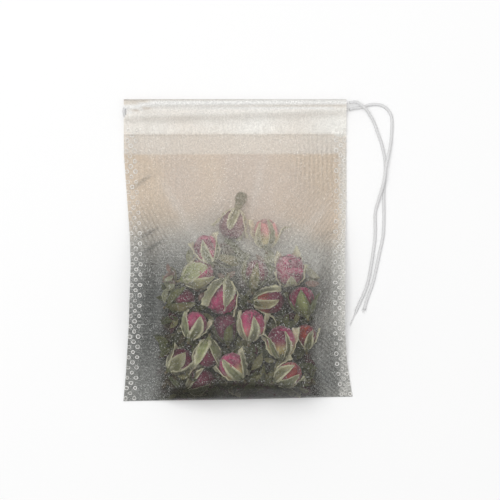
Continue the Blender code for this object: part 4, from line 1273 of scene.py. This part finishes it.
mesh = bpy.data.meshes.new("sheer_pouch")
mesh.from_pydata(points, [], faces)
mesh.materials.append(mesh_material())
mesh.polygons.foreach_set("use_smooth", [True] * len(faces))
mark(mesh.color_attributes, "cloth_colour", "FLOAT_COLOR", tints)
mark(mesh.attributes, "cover", "FLOAT", covers)
mark(mesh.attributes, "speckle", "FLOAT", speckles)
mark_uv(mesh, "lay", spots)
pouch = add_object("sheer_pouch", mesh)
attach(pouch, "root")
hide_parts("filter_pouch")


# Welds. Sealing dots pressed through both plies along the sides: each is a small melted ring with
# a sunken clear middle, in three staggered columns.

WELD_PITCH = 0.0027
WELD_COLUMNS = (0.0005, 0.0016, 0.0028)
LOWEST_WELD = FOLD_Y + 0.0006
WELD_LIFT = 0.00004
RING_RADIUS = 0.00045
RING_LIP = 0.00010
RING_SIZES = ((0.82, 0.82, 1.0), (1.15, 1.15, 1.0))
LIP_COLOUR = (0.97, 0.96, 0.93)
MIDDLE_COLOUR = (0.74, 0.71, 0.66)

ring_tree, given, out, node, maths = new_tree(
    "weld_rings", Float=["Ring radius", "Lip"], Int=["Seed"], Material=["Lip material", "Middle material"])
circle = node("CurvePrimitiveCircle", {"Resolution": 14, "Radius": given["Ring radius"]})
section = node("CurvePrimitiveCircle", {"Resolution": 6, "Radius": given["Lip"]})
lip = node("CurveToMesh", {"Curve": circle, "Profile Curve": section})
middle = node("MeshCircle", {"Vertices": 10, "Radius": given["Ring radius"]}, fill_type="NGON")
dot = node("JoinGeometry")
for part, name in ((lip, "Lip material"), (middle, "Middle material")):
    fill(dot, {0: node("SetMaterial", {"Geometry": part, "Material": given[name]})})
flat = node("Transform", {"Geometry": dot, "Scale": (1.0, 1.0, 0.5)})
facing = node("InputNamedAttribute", {"Name": "facing"}, data_type="FLOAT_VECTOR")
aim = node("AlignRotationToVector", {"Vector": facing}, axis="Z")
vary = node("RandomValue", {"Min": RING_SIZES[0], "Max": RING_SIZES[1], "Seed": given["Seed"]},
            data_type="FLOAT_VECTOR")
rings = node("InstanceOnPoints", {
    "Points": given["Geometry"], "Instance": flat, "Rotation": aim, "Scale": vary})
fill(out, {"Geometry": node("SetShadeSmooth", {"Geometry": node("RealizeInstances", {"Geometry": rings})})})


def weld_material(name, colour, alpha, roughness):
    """Melted threads: glassy and a little uneven."""
    mat, shader, node, maths = shade(name)
    place = node("TexCoord").outputs["Object"]
    melt = grain(node, place, 3500.0, 2.0)
    tone = maths("MULTIPLY_ADD", melt, 0.5, 0.75)
    bump = node("Bump", {"Strength": 0.4, "Distance": 0.00003, "Height": melt})
    pressing = grain(node, place, 420.0, 1.0)
    clear = ranged(node, pressing, 0.38, 0.62, alpha * 0.45, alpha)
    fill(shader, {"Base Color": toned(node, colour, tone), "Normal": bump, "Alpha": clear,
                  "Roughness": roughness})
    return mat


weld_points, weld_facings = [], []
row_y = MOUTH_Y - SIDE_SLIT
while row_y > LOWEST_WELD:
    for side in (-1, 1):
        for column, inset in enumerate(WELD_COLUMNS):
            y = row_y - (WELD_PITCH / 2 if column == 1 else 0.0)
            if y < LOWEST_WELD:
                continue
            across = inset / BAG_WIDTH if side < 0 else 1 - inset / BAG_WIDTH
            i, j = round(across * CLOTH_COLUMNS), round((y - FOLD_Y) / BAG_LENGTH * CLOTH_ROWS)
            slope = (front[i - side, j] - front[i, j]) / (BAG_WIDTH / CLOTH_COLUMNS)
            weld_points.append((*cloth_place(across, y), float(front[i, j]) + WELD_LIFT))
            weld_facings.append(Vector((side * slope, 0.0, 1.0)).normalized())
    row_y -= WELD_PITCH
rings = run_tree("weld_dots", ring_tree, {
    "Ring radius": RING_RADIUS, "Lip": RING_LIP, "Seed": 5,
    "Lip material": weld_material("weld_lip", LIP_COLOUR, 0.82, 0.25),
    "Middle material": weld_material("weld_middle", MIDDLE_COLOUR, 0.20, 0.3)},
    weld_points, facing=("FLOAT_VECTOR", weld_facings))
welds = add_object("weld_dots", rings)
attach(welds, "root")


# Table and light. A plain white table under a broad soft light from above; the camera sees the
# table as white, a little darker where the bag's shadow falls.

TABLE_REACH = 3.0
TABLE_Z = -0.00005
TABLE_GLOW = 0.20
ROOM_LIGHT = 0.55
ROOM_SEEN = 0.45
LAMP_SIZE = 0.6
LAMP_POWER = 3.9
LAMP_PLACE = (-0.15, 0.20, 0.85)
WHITE = (1.0, 1.0, 1.0, 1.0)


def seen(node, maths):
    """1 on the rays that show a surface: straight, mirrored or through the mesh."""
    path = node("LightPath").outputs
    indirect = maths("MAXIMUM", path["Is Glossy Ray"], path["Is Transmission Ray"])
    return maths("MAXIMUM", path["Is Camera Ray"], indirect)


table_mesh = bpy.data.meshes.new("table")
corners = [(x * TABLE_REACH, y * TABLE_REACH, TABLE_Z) for x, y in ((-1, -1), (1, -1), (1, 1), (-1, 1))]
table_mesh.from_pydata(corners, [], [(0, 1, 2, 3)])
table = add_object("table", table_mesh)
mat, shader, node, maths = shade("white_table")
glow = maths("MULTIPLY", seen(node, maths), TABLE_GLOW)
fill(shader, {"Base Color": (0.80, 0.80, 0.80, 1.0), "Roughness": 0.9, "Specular IOR Level": 0.0,
              "Emission Color": WHITE, "Emission Strength": glow})
table_mesh.materials.append(mat)

world = bpy.data.worlds.new("soft_room")
bpy.context.scene.world = world
world.use_nodes = True
node, maths = makers(world.node_tree)
strength = maths("MULTIPLY_ADD", seen(node, maths), ROOM_SEEN, ROOM_LIGHT)
fill(world.node_tree.nodes["Background"], {"Color": WHITE, "Strength": strength})

lamp = bpy.data.lights.new("soft_lamp", "AREA")
lamp.shape = "DISK"
lamp.size = LAMP_SIZE
lamp.energy = LAMP_POWER
soft_lamp = add_object("soft_lamp", lamp)
soft_lamp.location = LAMP_PLACE
soft_lamp.rotation_euler = (-soft_lamp.location).to_track_quat("-Z", "Y").to_euler()

bpy.context.scene.view_settings.view_transform = "Standard"
